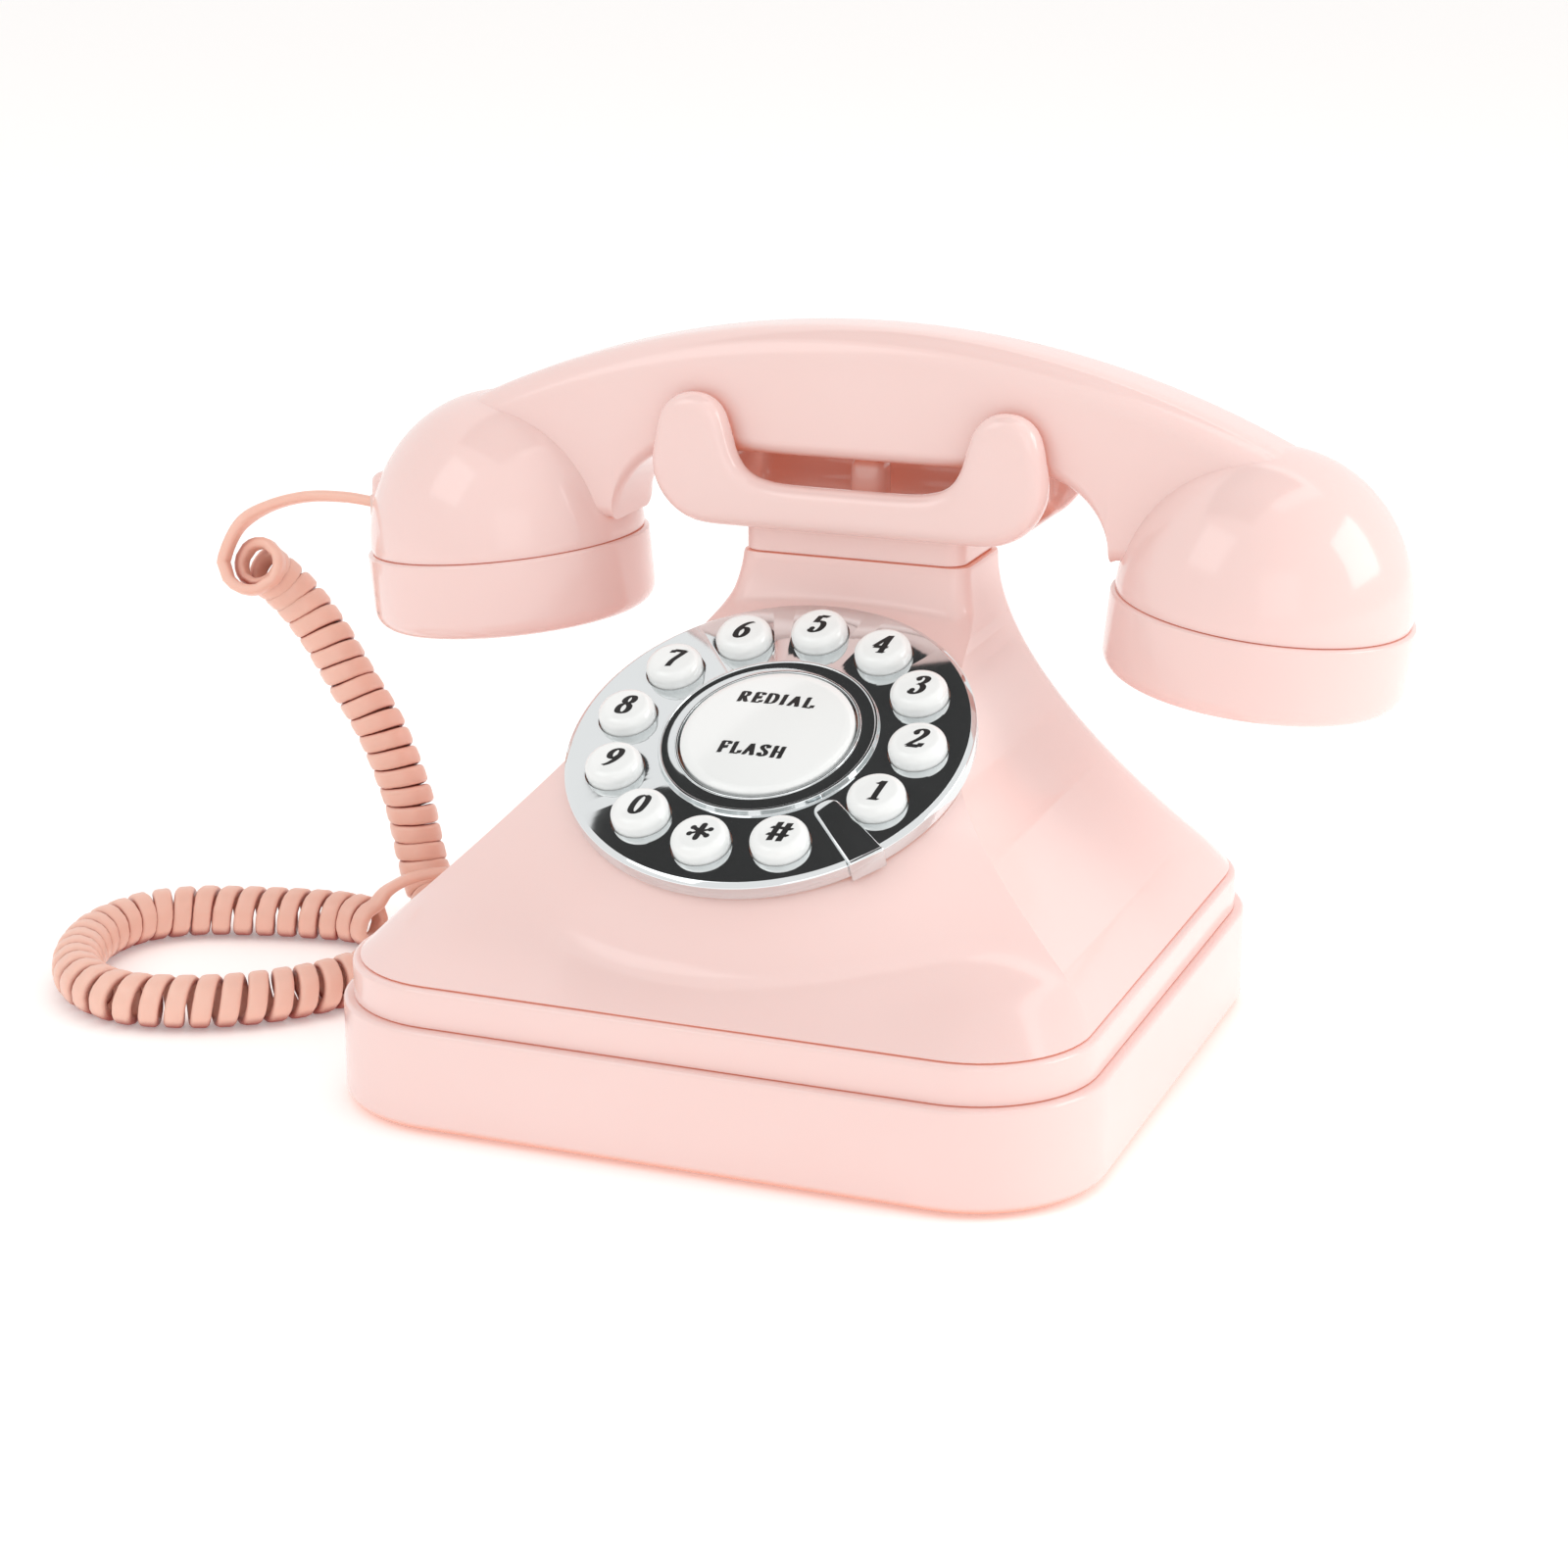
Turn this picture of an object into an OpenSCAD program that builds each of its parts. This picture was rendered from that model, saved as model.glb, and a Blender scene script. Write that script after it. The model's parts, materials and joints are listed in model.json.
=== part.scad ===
// Compact desk telephone: flared body on a stepped base, a cradle with four
// horns, a bar handset, a round push-key dial and a curly cord.
// Frame: +X to the right seen from the front, +Y to the back, +Z up, origin at
// the centre of the base on the table.

/* [Base] */
// Width of the base
base_w = 152.8; // [150:0.2:156]
// Depth of the base
base_d = 148; // [146:0.5:150]
// Corner radius of the base in plan
base_r = 26; // [22:0.5:28]
// Height of the lower moulding's top edge
tray_top = 21; // [20:0.5:22]
// Height of the upper band's top edge
band_top = 28.5; // [28:0.5:30]
// Step between one band and the next
band_step = 2; // [1.5:0.1:2.4]
// How far the rubber feet stand below the tray
foot_drop = 0.8; // [0.5:0.1:1]
// Wall thickness of the mouldings
wall = 2.6; // [2.2:0.1:3]

/* [Neck and cradle] */
// Height of the seam between the neck and the cradle
neck_top = 95; // [94:0.5:96]
// Underside of the cradle
cradle_low = 100.5; // [100:0.5:101]
// Floor of the cradle's channel
saddle_floor = 104; // [103.5:0.5:105]
// Half of the cradle's width
cradle_half = 41.7; // [41:0.1:42.5]
// Height of the horns
horn_top = 126.8; // [125:0.2:128]

/* [Dial] */
// Radius of the chrome disc
dial_r = 40; // [39.5:0.5:40.5]
// Thickness of the chrome disc
dial_t = 4; // [3.8:0.1:4.2]
// Tilt of the disc from level
dial_tilt = 27.1; // [26:0.1:28]
// Radius of the ring that the keys stand on
key_ring_r = 30; // [29.8:0.1:30.2]
// Radius of a key
key_r = 5.6; // [5.4:0.1:5.8]
// Height of a key above the disc
key_h = 3.4; // [2.5:0.1:4]
// Angle of the first key from +X
first_key = -27.4; // [-28:0.1:-27]
// Angle between two keys
key_step = 29.2; // [29:0.1:29.4]
// Radius of the centre button
rocker_r = 17; // [16.5:0.1:17.2]

/* [Handset] */
// Half of the distance between the two cups
cup_x = 81.8; // [80:0.1:83]
// Height of the cups' seams at rest
cup_z = 90.5; // [90:0.1:91]
// Tilt of each cup's axis
cup_tilt = 6.1; // [5:0.1:7]
// Radius of a dome at its seam
dome_r = 29.2; // [28.5:0.1:29.6]
// Height of a dome
dome_h = 31.5; // [31:0.1:32]
// Radius of a cap
cap_r = 30; // [29.6:0.1:30.2]
// Length of a cap
cap_len = 16.2; // [15.5:0.1:17]
// Half of the handle's depth
handle_half = 10.5; // [10:0.1:10.8]
// Underside of the handle
handle_low = 114.5; // [114.5:0.1:115]
// Top of the handle
handle_top = 141; // [140:0.5:142]
// Radius of the handle's top arch
arch_r = 198; // [190:1:205]

/* [Cord] */
// Outer diameter of the curly cord
coil_d = 11; // [10:0.1:11.2]
// Width of the cord itself
wire_d = 4.2; // [3.8:0.1:4.2]

/* [Hidden] */
$fn = 64;
handset_y = 33.5;
dial_y = -22.6;
dial_z = 69.8;
// Control values of the four curves that shape the flare, from neck to lip
flare_z = [neck_top, 75.5, 51, 30];
flare_side = [24.4, 24.4, 50.5, 72.8];
flare_front = [22, 18, -8, -70.3];
flare_back = [46, 45, 52, 71];
flare_corner = [4, 5, 14, 22];
flare_rings = 20;
arc_steps = 6;
front_steps = 10;
// The round seat under the disc
seat_r = 38;
seat_flank = 0.68;
seat_blend = 8;
bore_r = 37.2;
ledge_r = 34;
ledge_depth = 9.8;
board_depth = 11.2;
board_t = 1.6;
platform_r = 21.2;
platform_h = 1;
key_gap = 0.3;
flange_r = 6.5;
post_ring_r = 21;
horn_wall = 6.2;
channel_half = 11.3;
screw_r = 1.45;
screw_bore_r = 1.5;
stop_angle = 316;
boss_places = [[57, 54], [-57, 54], [57, -54], [-57, -54]];
board_posts = [for (x = [-47, 10], y = [8, 50]) [x, y]];
foot_places = [[44, 48], [-44, 48], [44, -48], [-44, -48]];
post_angles = [30, 150, 270];
jack_y = 30;
jack_z = 13;
line_x = -30;
switch_x = [22, 42];
hook_shelf = 70;
hook_collar = 84;
plunger_top = 114.2;
rear_top = 112;
socket_z = 95.4;
socket_x = -111;
// Route of the curly cord: from the handset's lead down to the table and round
hang_route = [[-137.9, 22, 82.9], [-138.4, 26.4, 80.8], [-136.9, 30.3, 77.3], [-133, 32.8, 72.3],
    [-127, 33.5, 64.5], [-121, 33.5, 55], [-115, 33.5, 46], [-110.6, 33.5, 36.5],
    [-107.6, 33.5, 27.5], [-105.6, 33.2, 18.5], [-102.5, 31.5, 10.5], [-96, 25, 6]];
loop_route = [[-96, 25, 6], [-92.2, 13, 5.7], [-91.8, 0, 5.6], [-94.6, -12, 5.6],
    [-101, -24.5, 5.6], [-110.5, -34.5, 5.6], [-122, -40.8, 5.6], [-135, -43, 5.6],
    [-147.5, -37.5, 5.6], [-156, -26, 5.6], [-160, -12, 5.6], [-157.5, 1, 5.6],
    [-149, 9.3, 5.6], [-136.5, 14, 5.6], [-124, 17, 5.6], [-114.5, 18, 5.6],
    [-107.5, 16.2, 5.6]];
handset_lead_route = [[-113, 33.5, 95.4], [-121, 33.4, 96], [-130, 32.2, 95.6], [-138.5, 28, 93.3],
    [-143.7, 23.5, 89.5], [-145.3, 21.5, 86.8]];
base_lead_route = [[-107.3, 16.4, 10.2], [-105.8, 18.4, 12.8], [-101, 20.8, 15.6], [-95.3, 24.4, 16.4],
    [-90, 28.2, 15], [-84, 30, 13]];

// ---------------------------------------------------------------- functions

function bez(t, p) = pow(1 - t, 3) * p[0] + 3 * pow(1 - t, 2) * t * p[1]
    + 3 * (1 - t) * t * t * p[2] + pow(t, 3) * p[3];

function clamp01(v) = min(1, max(0, v));

// The lower of two values, blended over the distance k
function soft_min(a, b, k) = let (h = clamp01(0.5 + 0.5 * (b - a) / k))
    b * (1 - h) + a * h - k * h * (1 - h);

function arc(c, r, from, to, steps) = [for (i = [0 : steps])
    let (w = from + (to - from) * i / steps) [c[0] + r * cos(w), c[1] + r * sin(w)]];

// A rounded rectangle from x = -a to a and y = f to b, with extra points along its front
function ring_outline(a, f, b, r) = concat(
    arc([a - r, b - r], r, 0, 90, arc_steps),
    arc([r - a, b - r], r, 90, 180, arc_steps),
    arc([r - a, f + r], r, 180, 270, arc_steps),
    [for (i = [1 : front_steps - 1]) [(a - r) * (2 * i / front_steps - 1), f]],
    arc([a - r, f + r], r, 270, 360, arc_steps));

seat_plane_y = dial_y + dial_t * sin(dial_tilt);
seat_plane_z = dial_z - dial_t * cos(dial_tilt);

// Half of the disc's width at the height z
function disc_half(z) = let (v = (z - seat_plane_z) / sin(dial_tilt))
    sqrt(max(0, seat_r * seat_r - v * v));

// Where the seat's surface lies at x and z
function seat_y(x, z) = let (v = (z - seat_plane_z) / sin(dial_tilt), far = sqrt(x * x + v * v))
    seat_plane_y + (z - seat_plane_z) / tan(dial_tilt) + max(0, far - seat_r) * seat_flank;

// One level ring of the flare; crown is 1 where its front is brought out to the seat, or 0
function flare_ring(t, inset, drop, crown) = let (
    z = bez(t, flare_z),
    a = bez(t, flare_side) - inset,
    f = bez(t, flare_front) + inset,
    b = bez(t, flare_back) - inset,
    r = max(1.2, bez(t, flare_corner) - inset),
    widen = crown * max(0, (disc_half(z) + 1.5) / a - 1),
    mid = (f + b) / 2)
    [for (p = ring_outline(a, f, b, r)) let (
        w = clamp01((mid - p[1]) / (mid - f)),
        x = p[0] * (1 + w * widen),
        y = soft_min(p[1], seat_y(x, z), seat_blend))
        [x, p[1] + crown * (y - p[1]) * clamp01(1.6 * w), z - drop]];

// Joins level rings of equal length into a closed skin
module loft(rings) {
    n = len(rings[0]);
    m = len(rings);
    points = [for (ring = rings) each ring];
    sides = [for (i = [0 : m - 2]) for (j = [0 : n - 1]) let (k = (j + 1) % n)
        each [[i * n + j, i * n + k, (i + 1) * n + j], [i * n + k, (i + 1) * n + k, (i + 1) * n + j]]];
    first = [for (j = [n - 1 : -1 : 0]) j];
    last = [for (j = [0 : n - 1]) (m - 1) * n + j];
    polyhedron(points, concat(sides, [first], [last]));
}

function unit(v) = v / norm(v);

// Smooth curve through points: the point at s, where whole numbers are the points themselves
function through(p, s) = let (
    n = len(p) - 1,
    i = min(n - 1, floor(s)),
    u = s - i,
    b = p[i],
    c = p[i + 1],
    a = i > 0 ? p[i - 1] : 2 * b - c,
    d = i < n - 1 ? p[i + 2] : 2 * c - b)
    0.5 * (2 * b + (c - a) * u + (2 * a - 5 * b + 4 * c - d) * u * u
        + (3 * b - a - 3 * c + d) * u * u * u);

// A round tube along a route, with sub rings between two of its points; the
// route never runs along ref
module tube(route, d, sides, sub, ref = [0, 0, 1]) {
    count = (len(route) - 1) * sub;
    spine = [for (i = [0 : count]) through(route, i / sub)];
    points = [for (i = [0 : count]) let (
        ahead = unit(spine[min(count, i + 1)] - spine[max(0, i - 1)]),
        across = unit(cross(ahead, ref)),
        up = cross(ahead, across))
        each [for (j = [0 : sides - 1]) spine[i]
            + d / 2 * (cos(360 * j / sides) * across + sin(360 * j / sides) * up)]];
    skin = [for (i = [0 : count - 1]) for (j = [0 : sides - 1]) let (k = (j + 1) % sides)
        each [[i * sides + j, (i + 1) * sides + j, i * sides + k],
            [i * sides + k, (i + 1) * sides + j, (i + 1) * sides + k]]];
    first = [for (j = [0 : sides - 1]) j];
    last = [for (j = [sides - 1 : -1 : 0]) count * sides + j];
    polyhedron(points, concat(skin, [first], [last]));
}

// Filled rounded rectangle, w by d, centred
module plan(w, d, r) {
    square([w - 2 * r, d], center = true);
    square([w, d - 2 * r], center = true);
    for (x = [-1, 1], y = [-1, 1]) translate([x * (w / 2 - r), y * (d / 2 - r)]) circle(r);
}

module slab(w, d, r, z0, z1) {
    translate([0, 0, z0]) linear_extrude(z1 - z0) plan(w, d, r);
}

module block(x, y, z) {
    translate([x[0], y[0], z[0]]) cube([x[1] - x[0], y[1] - y[0], z[1] - z[0]]);
}

module post(p, r, z0, z1) {
    translate([p[0], p[1], z0]) cylinder(r = r, h = z1 - z0);
}

// Places children in the disc's frame: its top face is z = 0
module on_dial() {
    translate([0, dial_y, dial_z]) rotate([dial_tilt, 0, 0]) children();
}

module disc(r, z0, z1) {
    translate([0, 0, z0]) cylinder(r = r, h = z1 - z0);
}

function polar(r, w) = [r * cos(w), r * sin(w)];

function key_angle(i) = first_key + i * key_step;

// Places children at a cup: side is -1 for the left cup and 1 for the right one
module at_cup(side) {
    translate([side * cup_x, handset_y, cup_z]) rotate([0, side * cup_tilt, 0]) children();
}

// A screw with its head at the bottom and its shank upwards
module screw(p, z0, head_r, head_h, len) {
    post(p, head_r, z0, z0 + head_h);
    post(p, screw_r, z0 + head_h, z0 + head_h + len);
}

// ---------------------------------------------------------------- base

module base_tray() {
    color("pink") difference() {
        union() {
            difference() {
                slab(base_w, base_d, base_r, foot_drop, tray_top);
                slab(base_w - 2 * wall, base_d - 2 * wall, base_r - wall, foot_drop + 3, tray_top + 1);
            }
            for (p = boss_places) post(p, 5, foot_drop + 2, 6.5);
            for (p = board_posts) post(p, 3, foot_drop + 2, 11.9);
        }
        for (p = boss_places) {
            post(p, 3.2, 0, 4);
            post(p, 1.8, 3.5, 7);
        }
        for (p = foot_places) post(p, 6.1, 0, 2.8);
        for (p = board_posts) post(p, screw_bore_r, 4.5, 12);
        for (i = [-3 : 3]) translate([42 + 4.5 * i, 24, 0])
            linear_extrude(8) plan(2, 24 - abs(i) * 3, 0.8);
        block([-base_w / 2 - 1, -base_w / 2 + wall + 1], [jack_y - 6.2, jack_y + 6.2],
            [jack_z - 5.7, jack_z + 5.7]);
        block([line_x - 6.2, line_x + 6.2], [base_d / 2 - wall - 1, base_d / 2 + 1],
            [jack_z - 5.7, jack_z + 5.7]);
        for (x = switch_x) block([x - 5, x + 5], [base_d / 2 - wall - 1, base_d / 2 + 1],
            [jack_z - 2.5, jack_z + 2.5]);
    }
}

module body_shell() {
    outer = [for (i = [0 : flare_rings]) flare_ring(i / flare_rings, 0, 0, 1)];
    inner = [for (i = [0 : 8]) flare_ring(i / 8, wall, 2.4, 0)];
    foot = [for (p = outer[flare_rings]) [p[0], p[1], band_top - 0.1]];
    band_w = base_w - 2 * band_step;
    band_d = base_d - 2 * band_step;
    color("pink") difference() {
        union() {
            difference() {
                union() {
                    loft(concat(outer, [foot]));
                    slab(band_w, band_d, base_r - band_step, tray_top, band_top);
                }
                loft(inner);
                slab(band_w - 2 * wall, band_d - 2 * wall, base_r - band_step - wall,
                    tray_top - 1, band_top - 0.8);
            }
            for (p = boss_places) post(p, 4, 6.6, p[1] > 0 ? 35.5 : 33);
        }
        on_dial() {
            disc(bore_r, -ledge_depth, 0);
            disc(ledge_r, -board_depth - 1, 0);
            disc(bore_r - 0.6, -26, -board_depth);
            disc(dial_r + 0.1, -dial_t, 12);
        }
        for (p = boss_places) post(p, screw_bore_r, 6, 21);
        post([0, handset_y], 3.4, neck_top - 6, neck_top + 1);
        for (x = [-17.5, 17.5]) post([x, handset_y], 1.8, neck_top - 6, neck_top + 1);
    }
}

module feet() {
    color("dimgray") for (p = foot_places) post(p, 6, 0, 2.75);
}

module ballast_plate() {
    color("slategray") difference() {
        block([-40, 40], [-62, -18], [foot_drop + 3.05, 8.5]);
        for (x = [-1, 1], y = [-59, -21]) post([44 * x, y], 9, 0, 10);
    }
}

module base_screws() {
    color("silver") for (p = boss_places) screw(p, 1.6, 2.9, 1.8, 15);
}

// ---------------------------------------------------------------- electronics in the base

module main_board() {
    color("seagreen") difference() {
        block([-51, 14], [4, 54], [12, 13.6]);
        for (p = board_posts) post(p, 1.7, 11, 15);
    }
}

module board_components() {
    color("dimgray") {
        block([-46, -30], [14, 30], [13.65, 17]);
        block([-22, -8], [16, 24], [13.65, 18.5]);
        for (i = [0 : 3]) post([-42 + 9 * i, 42], 3.2, 13.65, 21);
        for (i = [0 : 5]) block([-4 + 2.6 * i, -2.6 + 2.6 * i], [34, 40], [13.65, 15.2]);
    }
}

module board_screws() {
    color("silver") for (p = board_posts) {
        post(p, 2.8, 13.65, 15.4);
        post(p, screw_r, 5, 13.7);
    }
}

module ringer_speaker() {
    color("dimgray") union() {
        post([42, 24], 17, foot_drop + 3.05, 6.5);
        post([42, 24], 9, 6.5, 11);
    }
}

// A square socket with its mouth towards -X, opening onto x = 0
module jack() {
    difference() {
        block([0, 14], [-6, 6], [-5.5, 5.5]);
        block([-1, 11], [-3.5, 3.5], [-3.5, 3.3]);
    }
}

module base_jack() {
    color("dimgray") translate([-base_w / 2, jack_y, jack_z]) jack();
}

module line_jack() {
    color("dimgray") translate([line_x, base_d / 2, jack_z]) rotate([0, 0, -90]) jack();
}

// Housing of a slide switch behind the rear wall
module switch_body(x) {
    back = base_d / 2 - wall;
    difference() {
        block([x - 7, x + 7], [back - 6, back - 0.1], [jack_z - 4, jack_z + 4]);
        block([x - 4.6, x + 4.6], [back - 3, back + 1], [jack_z - 2, jack_z + 2]);
    }
}

// Its thumb piece, flush with the wall
module switch_thumb(x) {
    back = base_d / 2 - wall;
    block([x - 4, x + 0.5], [back - 2.8, back + wall - 0.2], [jack_z - 1.8, jack_z + 1.8]);
}

module ringer_switch() { color("dimgray") switch_body(switch_x[0]); }

module ringer_thumb() { color("white") switch_thumb(switch_x[0]); }

module tone_switch() { color("dimgray") switch_body(switch_x[1]); }

module tone_thumb() { color("white") switch_thumb(switch_x[1]); }

// ---------------------------------------------------------------- cradle and hook switch

// Outline of the cradle seen from the front, for x from 0 to its right end
function cradle_right() = concat(
    [[0, cradle_low]],
    arc([cradle_half - 12, cradle_low + 12], 12, -90, 0, 8),
    arc([33, horn_top - 7.7], 7.7, 16, 160, 12),
    [for (i = [1 : 8]) let (t = i / 8)
        [bez(t, [24.6, 22.6, 21, 10]), bez(t, [117.6, 111.5, 109.9, 109.7])]],
    [[0, 109.6]]);

module cradle() {
    right = cradle_right();
    left = [for (i = [len(right) - 2 : -1 : 1]) [-right[i][0], right[i][1]]];
    outer = channel_half + horn_wall;
    color("pink") difference() {
        union() {
            intersection() {
                translate([0, handset_y + 30, 0]) rotate([90, 0, 0])
                    linear_extrude(60) polygon(concat(right, left));
                translate([-60, handset_y, 0]) rotate([90, 0, 90]) linear_extrude(120) difference() {
                    polygon(concat(
                        arc([3 - outer, cradle_low + 3], 3, 180, 270, 5),
                        arc([outer - 3, cradle_low + 3], 3, 270, 360, 5),
                        arc([outer - 3, horn_top - 3], 3, 0, 90, 5),
                        arc([3 - outer, horn_top - 3], 3, 90, 180, 5)));
                    translate([-channel_half, saddle_floor]) square([2 * channel_half, 60]);
                }
            }
            for (x = [-31, 31]) block([x - 3, x + 3],
                [handset_y - channel_half - 0.5, handset_y + channel_half + 0.5],
                [saddle_floor - 1, handle_low - 0.3]);
            block([-23, 23], [handset_y + channel_half + 0.8, handset_y + outer - 0.8],
                [saddle_floor, rear_top]);
            translate([0, handset_y, neck_top]) linear_extrude(cradle_low - neck_top + 0.5)
                plan(46.4, 23.4, 4);
        }
        block([-4, 4], [handset_y - 4.4, handset_y + 4.4], [neck_top - 1, saddle_floor + 1]);
        for (x = [-17.5, 17.5]) post([x, handset_y], screw_bore_r, neck_top - 1, 102);
    }
}

module cradle_screws() {
    color("silver") for (x = [-17.5, 17.5]) screw([x, handset_y], 90.7, 2.6, 1.7, 9);
}

module hook_plunger() {
    color("pink") union() {
        block([-3.6, 3.6], [handset_y - 4, handset_y + 4], [neck_top + 0.7, plunger_top - 3]);
        translate([-3.6, handset_y, plunger_top - 4]) rotate([0, 90, 0]) cylinder(r = 4, h = 7.2);
        post([0, handset_y], 3, hook_shelf + 3.4, neck_top + 1);
        post([0, handset_y], 5.4, hook_collar, hook_collar + 2);
    }
}

module hook_bracket() {
    color("gainsboro") union() {
        block([-13, 13], [handset_y - 7, handset_y + 7], [hook_shelf - 2, hook_shelf]);
        for (x = [-13, 11.4]) block([x, x + 1.6], [handset_y - 7, handset_y + 7],
            [hook_shelf - 1, neck_top - 2.5]);
    }
}

module hook_switch() {
    color("dimgray") block([-2.2, 2.2], [handset_y - 2.2, handset_y + 2.2],
        [hook_shelf, hook_shelf + 3.2]);
}

module hook_spring() {
    turns = 5;
    wire = 0.5;
    low = hook_shelf + wire;
    high = hook_collar - wire;
    route = [for (i = [0 : turns * 12]) [4.4 * cos(30 * i), handset_y + 4.4 * sin(30 * i),
        low + (high - low) * i / (turns * 12)]];
    color("silver") tube(route, 2 * wire - 0.05, 6, 1);
}

// ---------------------------------------------------------------- dial and keys

module dial_plate() {
    color("silver") on_dial() difference() {
        union() {
            translate([0, 0, -dial_t]) rotate_extrude() polygon([[0, 0], [dial_r - 0.8, 0],
                [dial_r, 0.8], [dial_r, dial_t - 1.2], [dial_r - 1.2, dial_t], [0, dial_t]]);
            disc(platform_r, -1, platform_h);
            for (w = post_angles) post(polar(post_ring_r, w), 2.3, -ledge_depth + 0.3, -dial_t + 1);
        }
        disc(rocker_r + 0.5, -dial_t - 1, 3);
        for (i = [0 : 11]) post(polar(key_ring_r, key_angle(i)), key_r + key_gap, -dial_t - 1, 3);
        for (w = post_angles) post(polar(post_ring_r, w), screw_bore_r, -12, -3);
    }
}

module finger_stop() {
    color("silver") on_dial() rotate([0, 0, stop_angle]) union() {
        translate([0, 0, 0.05]) linear_extrude(1.1) polygon(concat(
            arc([25.5, 0], 1.6, 90, 270, 8), [[40, -3.4], [41.3, -3.4], [41.3, 3.4], [40, 3.4]]));
        block([dial_r + 0.15, dial_r + 1.3], [-3.4, 3.4], [-dial_t + 0.2, 1.15]);
    }
}

// One domed key with its collar below the disc
module key(i) {
    color("white") on_dial() translate([key_ring_r * cos(key_angle(i)), key_ring_r * sin(key_angle(i)), 0])
        rotate_extrude() polygon(concat([[0, -7.4], [flange_r, -7.4], [flange_r, -5.6], [key_r, -5.6]],
            [for (w = [0 : 15 : 90]) [key_r - 1.6 + 1.6 * cos(w), key_h - 2.2 + 1.6 * sin(w)]],
            [[2, key_h - 0.2], [0, key_h]]));
}

module key_1() { key(0); }

module key_2() { key(1); }

module key_3() { key(2); }

module key_4() { key(3); }

module key_5() { key(4); }

module key_6() { key(5); }

module key_7() { key(6); }

module key_8() { key(7); }

module key_9() { key(8); }

module key_0() { key(9); }

module key_star() { key(10); }

module key_hash() { key(11); }

module centre_rocker() {
    color("white") on_dial() union() {
        rotate_extrude() polygon(concat([[0, -5], [rocker_r, -5]],
            [for (w = [0 : 15 : 90]) [rocker_r - 1.5 + 1.5 * cos(w), 0.6 + 1.5 * sin(w)]],
            [[9, 2.7], [0, 3]]));
        disc(4, -8.6, -4);
        translate([-12, 0, -2]) rotate([0, 90, 0]) cylinder(r = 4, h = 24);
    }
}

module keypad_membrane() {
    color("lightgray") on_dial() difference() {
        union() {
            disc(ledge_r - 0.4, -board_depth + 0.1, -ledge_depth);
            for (i = [0 : 11]) post(polar(key_ring_r - 0.6, key_angle(i)), 2.6, -ledge_depth - 0.5, -9.1);
            for (w = [90, 270]) post(polar(11, w), 3, -ledge_depth - 0.5, -6.4);
        }
        for (w = post_angles) post(polar(post_ring_r, w), 2.6, -14, -5);
    }
}

module keypad_board() {
    color("seagreen") on_dial() difference() {
        disc(bore_r - 1, -board_depth - board_t, -board_depth);
        for (w = post_angles) post(polar(post_ring_r, w), 1.7, -15, -10);
    }
}

module dial_screws() {
    color("silver") on_dial() for (w = post_angles)
        screw(polar(post_ring_r, w), -board_depth - board_t - 1.8, 2.8, 1.75, 8);
}

// ---------------------------------------------------------------- handset

// Outline of a dome from its seam up, grown by g
function dome_side(g) = [for (w = [0 : 6 : 90]) [(dome_r + g) * cos(w), (dome_h + g) * sin(w)]];

module dome(g, low) {
    rotate_extrude() polygon(concat([[0, low], [dome_r + g, low]], dome_side(g)));
}

module handle() {
    arch_c = handle_top - arch_r;
    fillet = 17;
    x1 = 53 - fillet;
    translate([0, handset_y + handle_half, 0]) rotate([90, 0, 0]) linear_extrude(2 * handle_half)
        polygon(concat(
            arc([0, arch_c], arch_r, 60, 120, 36),
            [[-95, 100], [-53, 92]],
            arc([-x1, handle_low - fillet], fillet, 180, 90, 8),
            arc([x1, handle_low - fillet], fillet, 90, 0, 8),
            [[53, 92], [95, 100]]));
}

module handset_shell() {
    color("pink") difference() {
        union() {
            intersection() {
                handle();
                union() {
                    for (s = [-1, 1]) at_cup(s) dome(0, 0);
                    block([-88, 88], [0, 70], [94.2, 150]);
                }
            }
            for (s = [-1, 1]) at_cup(s) dome(0, 0);
            intersection() {
                block([socket_x + 0.2, -96], [handset_y - 8, handset_y + 8], [88, 103.5]);
                at_cup(-1) disc(60, 0.05, 40);
            }
        }
        for (s = [-1, 1]) at_cup(s) dome(-wall, -1);
        block([-34, 34], [handset_y - 6, handset_y + 6], [118, 131]);
        block([-80, 80], [handset_y - 3, handset_y + 3], [117, 120]);
        block([socket_x - 1, -95.9], [handset_y - 5.2, handset_y + 5.2], [socket_z - 4.2, socket_z + 4.2]);
    }
}

// A cap with a rounded lower edge and sound holes; local z = 0 is the seam
module cap(holes) {
    difference() {
        rotate_extrude() polygon(concat([[0, -cap_len]],
            [for (w = [-90 : 15 : 0]) [cap_r - 4 + 4 * cos(w), -cap_len + 4 + 4 * sin(w)]],
            [[cap_r, -0.8], [cap_r - 0.6, 0], [cap_r - wall, 0], [cap_r - wall, -cap_len + 5],
                [cap_r - wall - 2, -cap_len + wall], [0, -cap_len + wall]]));
        for (i = [0 : holes - 1]) rotate([0, 0, i * 360 / holes]) post([8, 0], 1.3, -20, -10);
        disc(1.3, -20, -10);
    }
}

module ear_cap() { color("pink") at_cup(1) cap(8); }

module mouth_cap() { color("pink") at_cup(-1) cap(6); }

module receiver_capsule() { color("dimgray") at_cup(1) disc(20, -cap_len + wall + 0.1, -4); }

module microphone_capsule() { color("dimgray") at_cup(-1) disc(6, -cap_len + wall + 0.1, -6); }

module handset_weight() {
    color("slategray") block([-33.8, 33.8], [handset_y - 5.8, handset_y + 5.8], [118.2, 128]);
}

module handset_jack() {
    color("dimgray") translate([socket_x + 0.4, handset_y, socket_z]) difference() {
        block([0, 14.6], [-5, 5], [-4, 4]);
        block([-1, 11], [-3.5, 3.5], [-3.4, 3.2]);
    }
}

// ---------------------------------------------------------------- cord

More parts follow.
